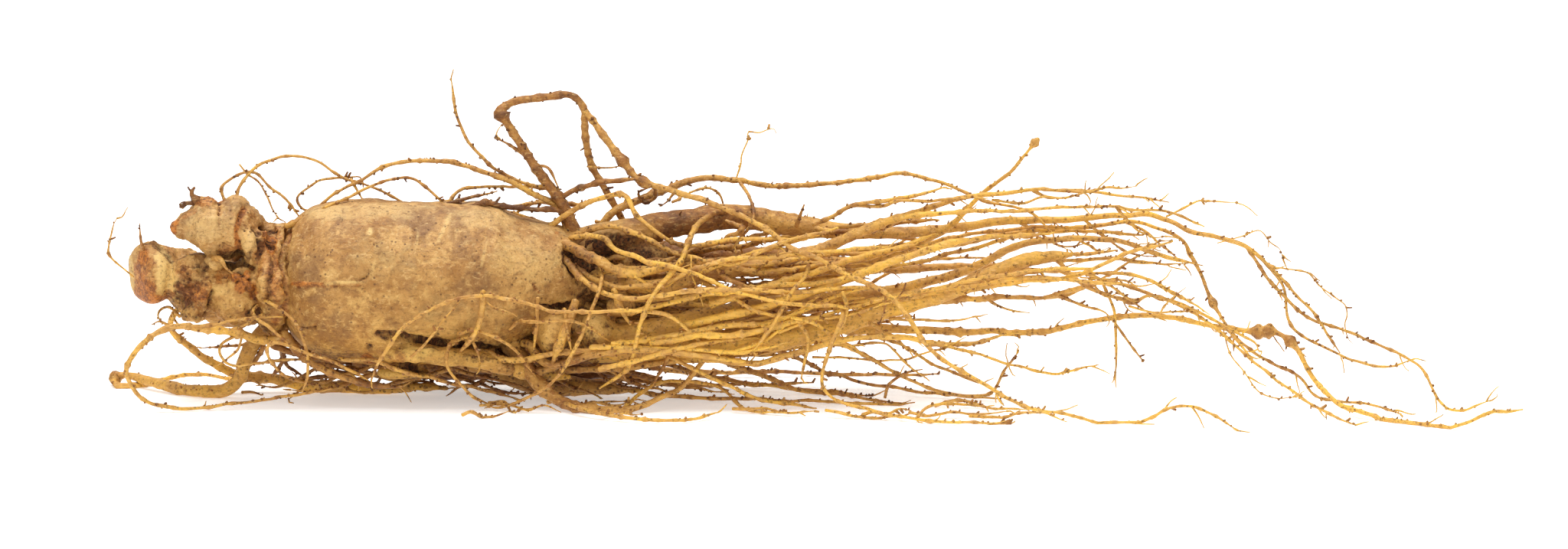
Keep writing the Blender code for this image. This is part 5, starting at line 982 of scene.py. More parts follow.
def point_normals(points, triangles):
    """Unit normals at points: the sum of the cross products of the triangles round each."""
    a, b, c = points[triangles[:, 0]], points[triangles[:, 1]], points[triangles[:, 2]]
    face = np.cross(b - a, c - a)
    total = np.zeros_like(points)
    for corner in range(3):
        np.add.at(total, triangles[:, corner], face)
    return unit(total)


# Relief and stains of the skin


def patches(points, seen, spots, ragged_size, raggedness):
    """Ragged oval patches at their places in the side view, as the largest of their strengths."""
    total = np.zeros(len(points))
    ragged = raggedness * layered(points, ragged_size, 3, 77)
    for x, z, half_x, half_z, *rest in spots:
        turn, strength = rest if len(rest) == 2 else (0.0, rest[0])
        dx, dz = points[:, 0] - x, seen - z
        along = (dx * math.cos(turn) + dz * math.sin(turn)) / half_x
        aside = (dz * math.cos(turn) - dx * math.sin(turn)) / half_z
        total = np.maximum(total, strength * (1 - step(np.hypot(along, aside) + ragged, 0.55, 1.35)))
    return total


def scar_marks(points, seen, front):
    """Heights, dirt and rust of the scars: bells of the distance to straight lines in the side view; the
    darkness is dirt and painted shadow.
    """
    height, dirt, rust = np.zeros(len(points)), np.zeros(len(points)), np.zeros(len(points))
    unsteady = 0.55 * layered(points, 2.2, 3, 130, 0.7)
    for (x0, z0), (x1, z1), width, lift, dirt_and_shade_share, rusty in SCARS:
        run_x, run_z = x1 - x0, z1 - z0
        t = ((points[:, 0] - x0) * run_x + (seen - z0) * run_z) / (run_x**2 + run_z**2)
        t = np.clip(t, 0, 1)
        off = np.hypot(points[:, 0] - x0 - t * run_x, seen - z0 - t * run_z) + width * unsteady
        line = bell(off, width) * front
        height += lift * line
        dirt = np.maximum(dirt, dirt_and_shade_share * line)
        rust = np.maximum(rust, rusty * bell(off, width * 1.6) * front)
    return height, dirt, rust


def fine_furrows(points):
    """Cross furrows round the barrel: narrow bells in x whose line wanders with the turn and fades out
    beyond a stretch of the turn."""
    draw = np.random.default_rng(SKIN_SEED)
    turn = np.arctan2(points[:, 2] - BARREL_MIDDLE, -points[:, 1])
    depth = np.zeros(len(points))
    for number in range(FINE_FURROWS):
        place = draw.uniform(-49.0, 14.0)
        middle = draw.uniform(-math.pi, math.pi)
        span = draw.uniform(0.2, 0.9)
        width = draw.uniform(0.25, 0.6)
        strength = draw.uniform(-0.10, 0.16)
        away = np.abs((turn - middle + math.pi) % math.tau - math.pi)
        wander = 0.9 * noise(np.stack([turn * 4, turn * 0 + number, turn * 0], axis=1), 1.7, number)
        depth += strength * bell(points[:, 0] - place - wander, width) * (1 - step(away, span * 0.5, span))
    return depth


def raise_barrel(height, points, barrel):
    """Add the barrel's furrows, bells whose line wanders and comes and goes by noise, and low ripples
    along the legs' thick ends."""
    height += (1 - barrel) * 0.34 * layered(points * (0.5, 1, 1), 3.0, 3, 64)
    furrows = fine_furrows(points) * barrel
    for place in FURROWS:
        wander = 0.8 * noise(points * (0.2, 1, 1), 6.0, int(200 + place))
        fade = step(noise(points * (0.1, 1, 1), 11.0, int(300 + place)), -0.3, 0.6)
        furrows += 0.26 * fade * bell(points[:, 0] - place - wander, 1.4) * barrel
    height -= furrows


def raise_head(height, points, bud):
    """Add the rhizome's gnarls, layers of noise that are rough on the collar and slight on the bud."""
    x = points[:, 0]
    height += 0.5 * step(x, *COLLAR_EDGE) * layered(points, 3.4, 2, 27)
    gnarl = (0.6 + 0.7 * step(x, -56.5, -54.0)) * layered(points, 6.0, 3, 21)
    gnarl += 0.36 * layered(points, 2.2, 4, 44, 0.6)
    height += (1 - 0.8 * bud) * gnarl
    height += 0.16 * layered(points * (1.0, 0.5, 0.5), 1.1, 2, 47) * (1 - 0.85 * bud)


def stained(height, points, seen, front, bud, head):
    """Press pits, scars and the sheath's edge into the height, and give the marks for earth, rust, pale and
    grey: each is the largest of its ragged ovals and bells, kept to the front where it was seen. The earth
    mark is earth and painted shade: darker in the pits, along the cracks under the barrel and in the gaps
    among the legs."""
    x = points[:, 0]
    ragged = 0.35 * layered(points, 1.5, 2, 61)
    earth = np.zeros(len(points))
    for px, pz, radius, depth, dirt in PITS:
        spot = bell(np.hypot(x - px, seen - pz) / radius + ragged, 1.0) * front
        height -= depth * spot
        earth = np.maximum(earth, dirt * spot)
    lift, dirt, rust = scar_marks(points, seen, front)
    height += lift
    earth = np.maximum(earth, dirt)
    earth = np.maximum(earth, patches(points, seen, EARTH_AND_SHADE, *EARTH_AND_SHADE_EDGE) * front)
    rust = np.maximum(rust, patches(points, seen, RUST_SPOTS, 2.6, 0.5 - 0.34 * bud) * front)
    pale = patches(points, seen, PALE_SPOTS, 3.0, 0.35) * front
    if head:
        sheath_x, sheath_z, radius = SHEATH
        sheath = np.hypot(x - sheath_x, seen - sheath_z) + 0.25 * layered(points, 2.4, 2, 71)
        upper = step(seen, 25.0, 28.0)
        covered = step(sheath, radius - 0.12, radius + 0.12) * bud * upper
        height += 0.75 * covered * (1 - step(sheath, radius + 2.0, radius + 5.0)) * front
        edge = bell(sheath - radius + 0.3, 0.5) * bud * upper * front
        earth = np.maximum(earth, 0.7 * edge)
        pale = pale * (1 - covered)
        rust = np.maximum(rust, 0.42 * covered * (1 - step(sheath, radius + 1.0, radius + 4.0)) * front)
    grey = patches(points, seen, GREY_SPOTS, 4.2, 0.6) * front
    hidden_grey = step(layered(points * (1.6, 1, 1), 9.0, 3, 181), 0.1, 0.9) * (1 - front) * 0.8
    scaly = step(rust, 0.3, 0.8) * head * (1 - bud) * 0.42
    height += scaly * layered(points * (0.6, 1.0, 2.2), 1.5, 3, 210, 0.7)
    height -= step(earth, 0.4, 0.9) * 0.25 * (1 + layered(points, 1.2, 2, 230))
    return {"earth": earth, "rust": rust, "pale": pale, "grey": np.maximum(grey, hidden_grey)}


def sunken(moved, edges, triangles):
    """How far points lie below the skin smoothed over 14 rounds, and over 64: the gap along the normal."""
    counts = np.bincount(edges.ravel(), minlength=len(moved))[:, None].astype(float)
    normals = point_normals(moved, triangles)
    smooth = moved.copy()
    gaps = []
    for rounds in (14, 50):
        for _ in range(rounds):
            smooth = neighbour_mean(smooth, edges, counts)
        gaps.append(np.einsum("ij,ij->i", smooth - moved, normals))
    return gaps


def bark_grown(name, along):
    """The share of bark at a distance along a leg."""
    return step(along, *BARK_GROWS.get(name, BARK_GROWS["others"]))


def bark_share(points, lines):
    """How far a point of the skin has turned to root bark: it grows along each leg's melted base."""
    share = np.zeros(len(points))
    for name in LEG_BASES:
        centres, girth = lines[name]
        along = lengths_along(centres)
        for centre, radius, run in list(zip(centres, girth / 2, along))[::3]:
            if run > LEG_BASES[name] + 4:
                break
            near = np.linalg.norm(points - centre, axis=1) < radius + 1.2
            share[near] = np.maximum(share[near], bark_grown(name, run))
    return share


def sculpt_skin(piece, lines):
    """Push the relief into the skin along its normals and write its marks. Where a point lies below the
    smoothed skin, earth darkens it, as earth and as painted shade in the hollow, and what stands above it is
    worn."""
    points, edges, triangles = read_mesh(piece.data)
    normals = point_normals(points, triangles)
    seen = seen_height(points)
    x = points[:, 0]
    front = step(-normals[:, 1], -0.25, 0.15)
    front = front * (1 - step(points[:, 1], -4.0, 2.0) * step(x, -50.0, -46.0))
    head = 1.0 if piece.name == HEAD else 0.0
    barrel = (1 - step(x, *BARREL_END)) * (1 - head)
    bud = (1 - step(x, *BUD_FOOT)) * head

    squashed = points * (1.7, 1.0, 1.0)
    height = barrel * (0.5 * layered(squashed, 15.0, 2, 3) + 0.14 * layered(squashed, 4.0, 3, 8))
    if head:
        raise_head(height, points, bud)
    else:
        raise_barrel(height, points, barrel)
    height += 0.05 * layered(points * (0.5, 1.0, 1.0), 0.9, 2, 90)
    marks = stained(height, points, seen, front, bud, head)

    moved = points + normals * height[:, None]
    sunk, deep = sunken(moved, edges, triangles)
    # Painted shade in the creases and hollows, with earth: the deeper a point lies below the smoothed skin,
    # the darker it is marked.
    earth = np.maximum(marks["earth"], 0.75 * step(sunk, 0.1, 0.42))
    marks["earth"] = np.clip(np.maximum(earth, 0.85 * step(deep, 0.25, 1.3)), 0, 1)
    marks["worn"] = step(-sunk, 0.04, 0.25)

    moved[:, 2] = np.maximum(moved[:, 2], FLOOR_GAP)
    placed = (moved - (REST_X, REST_Y, 0.0)) * MM
    piece.data.vertices.foreach_set("co", placed.ravel())
    marks["bark"] = np.zeros(len(points)) if head else bark_share(moved, lines)
    marks["tone"], marks["dirt"] = root_marks(moved, -0.04 * marks["bark"], 1).T
    set_marks(piece.data, marks)
    piece.data.shade_smooth()
    piece.data.update()
    return piece


# Roots and rootlets


def laid_on_barrel(centres, girth):
    """Strands that pass in front of the barrel are pushed out until they lie on its skin."""
    table = np.asarray(BARREL)
    top, bottom = (smooth_table(centres[:, 0], table[:, 0], table[:, k]) for k in (1, 2))
    middle, radius = (top + bottom) / 2 / math.cos(VIEW_TILT), (top - bottom) / 2
    rise = centres[:, 2] - middle
    distance = np.hypot(centres[:, 1], rise)
    needed = radius * 1.045 + 0.6 + girth * 0.3
    shallow = (centres[:, 1] < -5) & (distance > radius * 0.62) & (distance < needed)
    inside = (centres[:, 0] > table[0, 0]) & (centres[:, 0] < 14.0)
    push = np.where(shallow & inside, needed / np.maximum(distance, 1.0), 1.0)
    push = np.convolve(np.pad(push, 3, mode="edge"), np.array((1, 2, 3, 4, 3, 2, 1)) / 16.0, mode="valid")
    moved = centres.copy()
    moved[:, 1] = centres[:, 1] * push
    moved[:, 2] = np.maximum(middle + rise * push, girth / 2 + FLOOR_GAP)
    return moved


def all_lines():
    """Every named root's route and true girth, at a fine spacing."""
    lines = {}
    named = [*LEGS.items(), *ROOTLETS.items(), *FINE_ROOTS.items()]
    for number, (name, (girths, depths, side)) in enumerate(named):
        centres = smooth_route(route_of(depths, side))
        if PARENTS.get(name) in lines:
            centres = drawn_in(centres, lines[PARENTS[name]][0])
        girth = evenly(girths, len(centres))
        if name in ROOTLETS:
            girth = np.interp(girth, *GIRTHS)
        if name in SLIMMER:
            first, last, share = SLIMMER[name]
            girth = girth * (1 - (1 - share) * step(centres[:, 0], first, last))
        girth = girth * (1 - TIP_THINNING * step(centres[:, 0], *TIPS_FROM))
        centres = wavering(centres, girth, number + 1)
        if name not in LEGS:
            centres = laid_on_barrel(centres, girth)
        lines[name] = (centres, girth)
    return lines


def seeded(kind, count, seed, strand):
    """Named strands of one kind: strand(draw, number) gives a route and its girths, or nothing."""
    draw = np.random.default_rng(SHEAF_SEED + seed)
    made = ((number, strand(draw, number)) for number in range(count))
    return [(f"{kind} {number + 1}", *parts) for number, parts in made if parts]


def sheaf_point(x, a, b):
    """A place in the bundle's oval: a across it in depth and b up it, each from -1 to 1 within it."""
    table = np.asarray(SHEAF)
    middle_y, half_y, middle_z, half_z = (np.interp(x, table[:, 0], table[:, k]) for k in range(1, 5))
    ease = np.clip((x - SHEAF_START) / 12.0, 0.15, 1.0)
    return np.stack([x, middle_y + a * ease * half_y, middle_z + b * ease * half_z], axis=1)


def sheaf_strand(draw, number):
    """A wandering root: a place in the bundle's oval that drifts by sines as the root runs on."""
    fine = number >= SHEAF_COUNT
    angle = (number + 0.5 * draw.random()) * math.tau * 0.382
    reach = 0.35 + 0.6 * draw.random()
    drift = draw.uniform(-1.0, 1.0, 4)
    last = draw.uniform(105.0, 178.0)
    if fine:
        last = draw.uniform(50.0, 110.0)
    x = np.arange(SHEAF_START, last, 6.0)
    u = (x - SHEAF_START) / SHEAF_LENGTH
    a = reach * np.cos(angle + 1.1 * drift[0] * u) + 0.16 * drift[2] * np.sin(7 * u + 6 * drift[1])
    b = reach * np.sin(angle + 1.1 * drift[0] * u) + 0.16 * drift[3] * np.sin(8 * u + 5 * drift[2])
    girth = np.interp(u, (0.0, 0.2, 0.5, 1.0), (2.0 + draw.random(), 1.3, 0.95, 0.7))
    if fine:
        girth = girth * 0.55
        a, b = 0.75 * a + 0.1, 0.8 * b
    return sheaf_point(x, a, b), girth


def mane_strand(draw, number):
    """A root that crosses the bundle's outside, its angle round the oval swinging by up to a third of a
    turn."""
    front = number % 3 == 0
    angle = draw.uniform(0.62, 1.38) * math.pi if front else draw.uniform(-0.4, 0.4) * math.pi
    first = draw.uniform(16.0, 40.0)
    last = first + draw.uniform(30.0, 95.0)
    x = np.arange(first, last, 5.0)
    u = (x - first) / 60.0
    swing = angle + draw.uniform(-1.0, 1.0) * u + 0.35 * np.sin(5 * u + draw.uniform(0, 6))
    reach = (0.8 + 0.3 * draw.random()) * np.clip(0.75 + u, 0.75, 1.05)
    route = sheaf_point(x, reach * np.cos(swing), reach * np.sin(swing))
    return route, np.linspace(draw.uniform(0.8, 1.4), 0.5, len(x))


def under_strand(draw, number):
    """A root from the barrel's underside that falls to the floor as (1 - u)^1.6 and runs along it."""
    x = draw.uniform(-46.0, 24.0)
    y = draw.uniform(-9.0, 14.0)
    lead = draw.choice((-1.0, 1.0), p=(0.35, 0.65))
    run = draw.uniform(14.0, 44.0)
    u = np.linspace(0.0, 1.0, 7)
    depth = y + draw.uniform(-9.0, 9.0) * u + draw.normal(0.0, 1.2, 7) * u
    height = 12.5 * (1 - u) ** 1.6 + 0.8 + draw.uniform(0.0, 2.6, 7) * u
    route = np.stack([x + lead * run * u, depth, height], axis=1)
    return route, np.linspace(draw.uniform(0.9, 1.7), 0.5, 7)


def back_strand(draw, number):
    """A root on the side turned away: part of a turn round the barrel, down towards the floor behind."""
    x = draw.uniform(-45.0, 26.0)
    run = draw.uniform(18.0, 60.0) * draw.choice((-0.5, 1.0), p=(0.25, 0.75))
    angle = draw.uniform(-0.9, 1.2)
    fall = draw.uniform(0.3, 1.4)
    u = np.linspace(0.0, 1.0, 8)
    turn = angle - fall * u
    out = BACK_REACH + draw.uniform(0.3, 4.5) * np.sin(math.pi * np.clip(u * 1.1, 0, 1))
    route = np.stack([
        x + run * u + draw.normal(0.0, 1.0, 8) * u,
        np.minimum(out * np.cos(turn), 27.0),
        np.maximum(BARREL_MIDDLE + out * np.sin(turn), 0.6 + draw.uniform(0, 2, 8)),
    ], axis=1)
    return route, np.linspace(draw.uniform(0.8, 1.6), 0.45, 8)


def clutter_strand(draw, number):
    """A short knotty twig that lies on the floor in front of the barrel or under the bundle."""
    x = draw.uniform(-24.0, 46.0) if number % 2 else draw.uniform(46.0, 118.0)
    y = draw.uniform(-26.0, -8.0)
    u = np.linspace(0.0, 1.0, 6)
    run = draw.uniform(9.0, 26.0)
    depth = y + draw.uniform(-7.0, 7.0) * u + draw.normal(0, 0.8, 6)
    route = np.stack([x + run * u, depth, 0.4 + draw.uniform(0.0, 1.6, 6)], axis=1)
    return route, np.linspace(draw.uniform(0.6, 1.0), 0.4, 6)


def tangle_strands(lines):
    """Wiry twigs that leave the roots near the upper tips and cross them, rising or falling to the right."""
    hosts = [centres for centres, girth in lines.values() if centres[:, 0].max() > 148.0]

    def strand(draw, number):
        host = hosts[number % len(hosts)]
        near = np.flatnonzero((host[:, 0] > 116.0) & (host[:, 0] < 152.0) & (host[:, 2] > 25.0))
        if not len(near):
            return None
        start = host[draw.choice(near)]
        run = draw.uniform(6.0, 17.0)
        u = np.linspace(0.0, 1.0, 6)
        rise = draw.uniform(-0.8, 0.5) * run * u + draw.uniform(-2.4, 1.6) * np.sin(math.pi * u)
        rise = rise + draw.normal(0.0, 0.45, 6) * u
        route = start + np.stack([run * u, draw.uniform(-4.0, 4.0) * u, rise], axis=1)
        route[:, 2] = np.maximum(route[:, 2], 0.6)
        return route, np.linspace(draw.uniform(0.55, 0.9), 0.36, 6)

    return seeded("tangle", TANGLE_COUNT, 5, strand)


def knotted(centres, girth, seed):
    """Radii with small swellings, bells about a millimetre wide at seeded places, and how far each point
    belongs to one of them."""
    draw = np.random.default_rng(seed)
    along = lengths_along(centres)
    ringed = noise(np.stack([along, along * 0 + seed, along * 0], axis=1), 1.6, seed)
    radii = girth / 2 * (1 + 0.09 * ringed)
    knots = np.zeros(len(along))
    slender = np.clip(1.45 - girth.mean() / 2.6, 0.12, 1.0)
    places = np.arange(2.0, along[-1], KNOT_GAP)
    for place in places + draw.uniform(-1.4, 1.4, len(places)):
        swell = draw.uniform(0.0, 0.75) ** 1.5
        lump = bell(along - place, 0.3 + 0.5 * draw.random())
        radii = radii * (1 + swell * slender * lump)
        knots = np.maximum(knots, swell * lump)
    tip = step(along[-1] - along, 0.0, 5.0)
    return radii * (0.5 + 0.5 * tip), knots * slender


def nub(centre, direction, base, rise, width):
    """A broken-off side root: a five-sided peg from inside its root to a blunt end, bent a little."""
    reach = np.array((base * 0.4, base + rise * 0.45, base + rise))
    bend = np.array((0.0, 0.04, 0.16))[:, None] * rise * np.array((0.6, 0.3, 0.7))
    return tube(centre + reach[:, None] * direction + bend, np.array((1.15, 0.95, 0.8)) * width, 5, 0.0, 1)


def add_nubs(bundle, name, centres, radii, seed, tone):
    """Pegs along a root, about one every NUB_GAP: most are short and one in eight stands out."""
    line = lengths_along(centres)
    if line[-1] <= 4:
        return
    draw = np.random.default_rng(1000 + seed)
    tangents = unit(np.gradient(centres, axis=0))
    for place in draw.uniform(2.0, line[-1], int(line[-1] / NUB_GAP)):
        index = min(int(np.searchsorted(line, place)), len(centres) - 1)
        if name in LEG_BASES and line[index] < LEG_BASES[name] - 6:
            continue
        aside = unit(np.cross(tangents[index], draw.normal(size=3)))
        lean = unit(aside + 0.45 * tangents[index])
        if centres[index, 2] < 1.6:
            lean = np.array((lean[0], lean[1], abs(lean[2])))
        rise = 0.12 + 0.34 * draw.random() + (0.7 if draw.random() < 0.12 else 0.0)
        points, quads, corners = nub(centres[index], lean, radii[index], rise, draw.uniform(0.2, 0.4))
        points[:, 2] = np.maximum(points[:, 2], FLOOR_GAP)
        marks = root_marks(points, tone + NUB_TONE, seed)
        marks[:, 1] = np.minimum(1.0, marks[:, 1] + 0.25)
        bundle.add(points, quads, corners, np.column_stack([marks, np.ones(len(points))]))


def dress_root(bundle, name, centres, girth, seed):
    """A root as a fine tube, with its knots and pegs. Its marks are tone, dirt, which is soiling and painted
    shade, and the share of bark.
    """
    tone = ROOT_TONES.get(name, KIND_TONES.get(name.split()[0], 0.0))
    radii, knots = knotted(centres, girth, seed)
    line = lengths_along(centres)
    for root, x, z, diameter in KNOTS:
        if root == name:
            near = np.hypot(centres[:, 0] - x, seen_height(centres) - z)
            lump = bell(line - line[np.argmin(near)], 0.8 + 0.2 * diameter)
            radii = radii + diameter * 0.34 * lump * (1 + 0.5 * noise(centres, 0.9, seed + 77))
            knots = np.maximum(knots, 0.7 * lump)
    bark = np.ones(len(centres))
    if name in LEG_BASES:
        radii = radii * (0.84 + 0.16 * step(line, LEG_BASES[name] - 13.0, LEG_BASES[name] - 5.0))
        bark = bark_grown(name, line)
    stout = girth.max() > 2.6
    sides = 18 if girth.max() > 4 else (10 if stout else 6)
    points, quads, corners = tube(centres, radii, sides, 0.07 if stout else 0.16, seed)
    bark = np.append(np.repeat(bark, sides), (bark[0], bark[-1]))
    darker = np.append(np.repeat(KNOT_TONE * knots, sides), (0.0, KNOT_TONE * 0.5))
    bundle.add(points, quads, corners, np.column_stack([root_marks(points, tone + darker, seed), bark]))
    add_nubs(bundle, name, centres, radii, seed, tone)


def root_marks(points, tone, seed):
    """Tone from 0, brown, to 1, golden, and dirt, which gathers near the barrel, underneath and in
    EARTH_AND_SHADE: soiling, and painted shade on the roots that lie behind the front ones. The tone is
    painted browner near the barrel and on the back roots in BROWN_AND_SHADE, partly as painted shade, and
    lighter on the front strands by the barrel's end, as painted light.
    """
    x, y = points[:, 0], points[:, 1]
    seen = seen_height(points)
    # Painted shade and light in the tone: browner near the barrel and on the back roots, lighter on the
    # front strands past x 16.
    golden = 0.56 + 0.08 * step(x, 45.0, 150.0) + tone + 0.2 * noise(points, 8.0, 400 + seed)
    golden = golden + 0.12 * step(seen, 34.0, 46.0) * step(x, 60.0, 100.0)
    golden = golden - 0.3 * patches(points, seen, BROWN_AND_SHADE, 4.0, 0.4) * step(y, -7.0, -1.0)
    golden = golden + 0.16 * step(x, 16.0, 30.0) * (1 - step(y, -17.0, -5.0))
    # Painted shade with soiling: roots near the barrel, behind the front ones and low down are darkened.
    near = step(x, -34.0, -10.0) * (1 - step(x, 14.0, 55.0)) * (1 - step(seen, 30.0, 44.0))
    behind = 0.1 + 0.9 * step(y, -15.0, -5.0)
    low = 1 - step(points[:, 2], 1.0, 20.0)
    dirt = near * behind * (0.4 + 0.26 * low) + 0.16 * layered(points, 4.0, 2, 500 + seed)
    dirt = np.maximum(dirt, 0.9 * patches(points, seen, EARTH_AND_SHADE, *EARTH_AND_SHADE_EDGE) * step(y, -18.0, -10.0))
    return np.stack([np.clip(golden, 0, 1), np.clip(dirt, 0, 1)], axis=1)


def hair(start, heading, length, draw):
    """A fine twig: a heading that turns a little at every step, summed into a route."""
    steps = max(4, int(length / HAIR_STEP))
    turns = np.cumsum(draw.normal(scale=0.19, size=(steps, 3)), axis=0)
    headings = unit(heading + turns)
    return start + np.vstack([np.zeros(3), np.cumsum(headings, axis=0) * (length / steps)])


def add_hair(bundle, start, heading, length, width, draw, seed):
    """One twig as a four-sided tube that thins to its tip."""
    route = hair(start, heading, length, draw)
    radii = np.linspace(width, HAIR_TIP, len(route)) * (1 + 0.35 * draw.random(len(route)))
    route[:, 2] = np.maximum(route[:, 2], HAIR_LIFT)
    points, quads, corners = tube(route, radii, 4, 0.1, seed)
    marks = root_marks(points, 0.05, seed)
    bundle.add(points, quads, corners, np.column_stack([marks, np.ones(len(points))]))


def add_hairs(bundle, lines):
    """Fine twigs along the roots, denser towards the tips, and up to two at the end of each."""
    draw = np.random.default_rng(HAIR_SEED)
    for number, (name, (centres, girth)) in enumerate(lines.items()):
        line = lengths_along(centres)
        tangents = unit(np.gradient(centres, axis=0))
        for place in draw.uniform(6.0, max(6.1, line[-1]), int(line[-1] / HAIR_GAP)):
            index = min(int(np.searchsorted(line, place)), len(centres) - 1)
            x = centres[index, 0]
            if name.startswith("pressed") or draw.random() > 0.15 + 0.85 * step(x, 40.0, 140.0):
                continue
            aside = unit(np.cross(tangents[index], draw.normal(size=3)))
            heading = unit(tangents[index] * draw.uniform(0.4, 1.6) + aside * 0.8 - (0, 0, 0.15))
            length = draw.uniform(1.2, 6.5) * (0.5 + 0.5 * step(x, 60.0, 150.0))
            add_hair(bundle, centres[index], heading, length, draw.uniform(0.15, 0.23), draw, number)
        if girth[-1] < 1.4 and line[-1] > 15:
            for fork in range(draw.integers(0, 3)):
                heading = unit(tangents[-1] + draw.normal(scale=0.45, size=3))
                add_hair(bundle, centres[-1 - fork], heading, draw.uniform(1.5, 5.0), 0.2, draw, number)


# Shader maths


class Value:
    """Wraps a socket, so that an expression on it adds its Math nodes."""

    def __init__(self, shader, socket):
        self.shader, self.socket = shader, socket

    def maths(self, operation, first, second):
        """An operation on two values or numbers."""
        return self.shader.node("ShaderNodeMath", {"operation": operation}, {0: first, 1: second})

    def __add__(self, other):
        return self.maths("ADD", self, other)

    def __radd__(self, other):
        return self.maths("ADD", other, self)

    def __sub__(self, other):
        return self.maths("SUBTRACT", self, other)

    def __rsub__(self, other):
        return self.maths("SUBTRACT", other, self)

    def __mul__(self, other):
        return self.maths("MULTIPLY", self, other)

    def __rmul__(self, other):
        return self.maths("MULTIPLY", other, self)

    def clamped(self, low, high):
        """0 below low and 1 above high, straight between."""
        sockets = {"Value": self, "From Min": low, "From Max": high}
        return self.shader.node("ShaderNodeMapRange", {"clamp": True}, sockets)


class Shader:
    """A material with a Principled BSDF, and one method that adds any other node."""

    def __init__(self, name, roughness, specular):
        self.material = bpy.data.materials.new(name)
        self.material.use_nodes = True
        self.tree = self.material.node_tree
        self.surface = self.tree.nodes["Principled BSDF"]
        self.set("Roughness", roughness)
        self.set("Specular IOR Level", specular)

    def set(self, socket, value):
        """A value that is the same all over the surface."""
        self.surface.inputs[socket].default_value = value

    def node(self, kind, settings, sockets, output=0):
        """A node with its settings, and the values or links of its sockets; gives one of its outputs."""
        made = self.tree.nodes.new(kind)
        for key, value in settings.items():
            if key == "stops":
                self.set_stops(made.color_ramp, value)
            else:
                setattr(made, key, value)
        for key, value in sockets.items():
            if isinstance(value, Value):
                self.tree.links.new(value.socket, made.inputs[key])
            else:
                made.inputs[key].default_value = value
        return Value(self, made.outputs[output])

    def set_stops(self, ramp, stops):
        """Places and colours along a ramp."""
        while len(ramp.elements) < len(stops):
            ramp.elements.new(0.5)
        for element, (place, colour) in zip(ramp.elements, stops):
            element.position = place
            element.color = colour

    def place(self):
        """The place on the object."""
        return self.node("ShaderNodeTexCoord", {}, {}, "Object")

    def stretched(self, scale):
        """The place on the object, scaled on each axis: below 1 draws a pattern out along it."""
        return self.node("ShaderNodeMapping", {}, {"Vector": self.place(), "Scale": scale})

    def rise(self, place):
        """Height above the floor."""
        return self.node("ShaderNodeSeparateXYZ", {}, {"Vector": place}, "Z")

    def mark(self, name):
        """A mark kept at the mesh's points."""
        return self.node("ShaderNodeAttribute", {"attribute_name": name}, {}, "Fac")

    def noise(self, vector, scale, detail, rough=0.55, distortion=0.0):
        """Blender's noise, from about 0.3 to 0.7."""
        sockets = {"Vector": vector, "Scale": scale, "Detail": detail, "Roughness": rough}
        return self.node("ShaderNodeTexNoise", {}, {**sockets, "Distortion": distortion})

    def cells(self, vector, scale):
        """Distance from the nearest of a scatter of points."""
        return self.node("ShaderNodeTexVoronoi", {}, {"Vector": vector, "Scale": scale}, "Distance")

    def mix(self, factor, first, second, blend="MIX"):
        """Two colours mixed by a factor."""
        settings = {"data_type": "RGBA", "blend_type": blend}
        return self.node("ShaderNodeMix", settings, {0: factor, 6: first, 7: second}, 2)

    def bump(self, height, distance, strength, below=None):
        """A bump, laid over another where one is given."""
        sockets = {"Height": height, "Distance": distance, "Strength": strength}
        if below is not None:
            sockets["Normal"] = below
        return self.node("ShaderNodeBump", {}, sockets)

    def feed(self, socket, value):
        """Link a value that changes over the surface."""
        self.tree.links.new(value.socket, self.surface.inputs[socket])


def tint(red, green, blue):
    """A colour given as it looks on screen, 0 to 255, as linear light."""
    share = np.array((red, green, blue)) / 255.0
    linear = np.where(share < 0.04045, share / 12.92, ((share + 0.055) / 1.055) ** 2.4)
    return (*(float(v) for v in linear), 1.0)


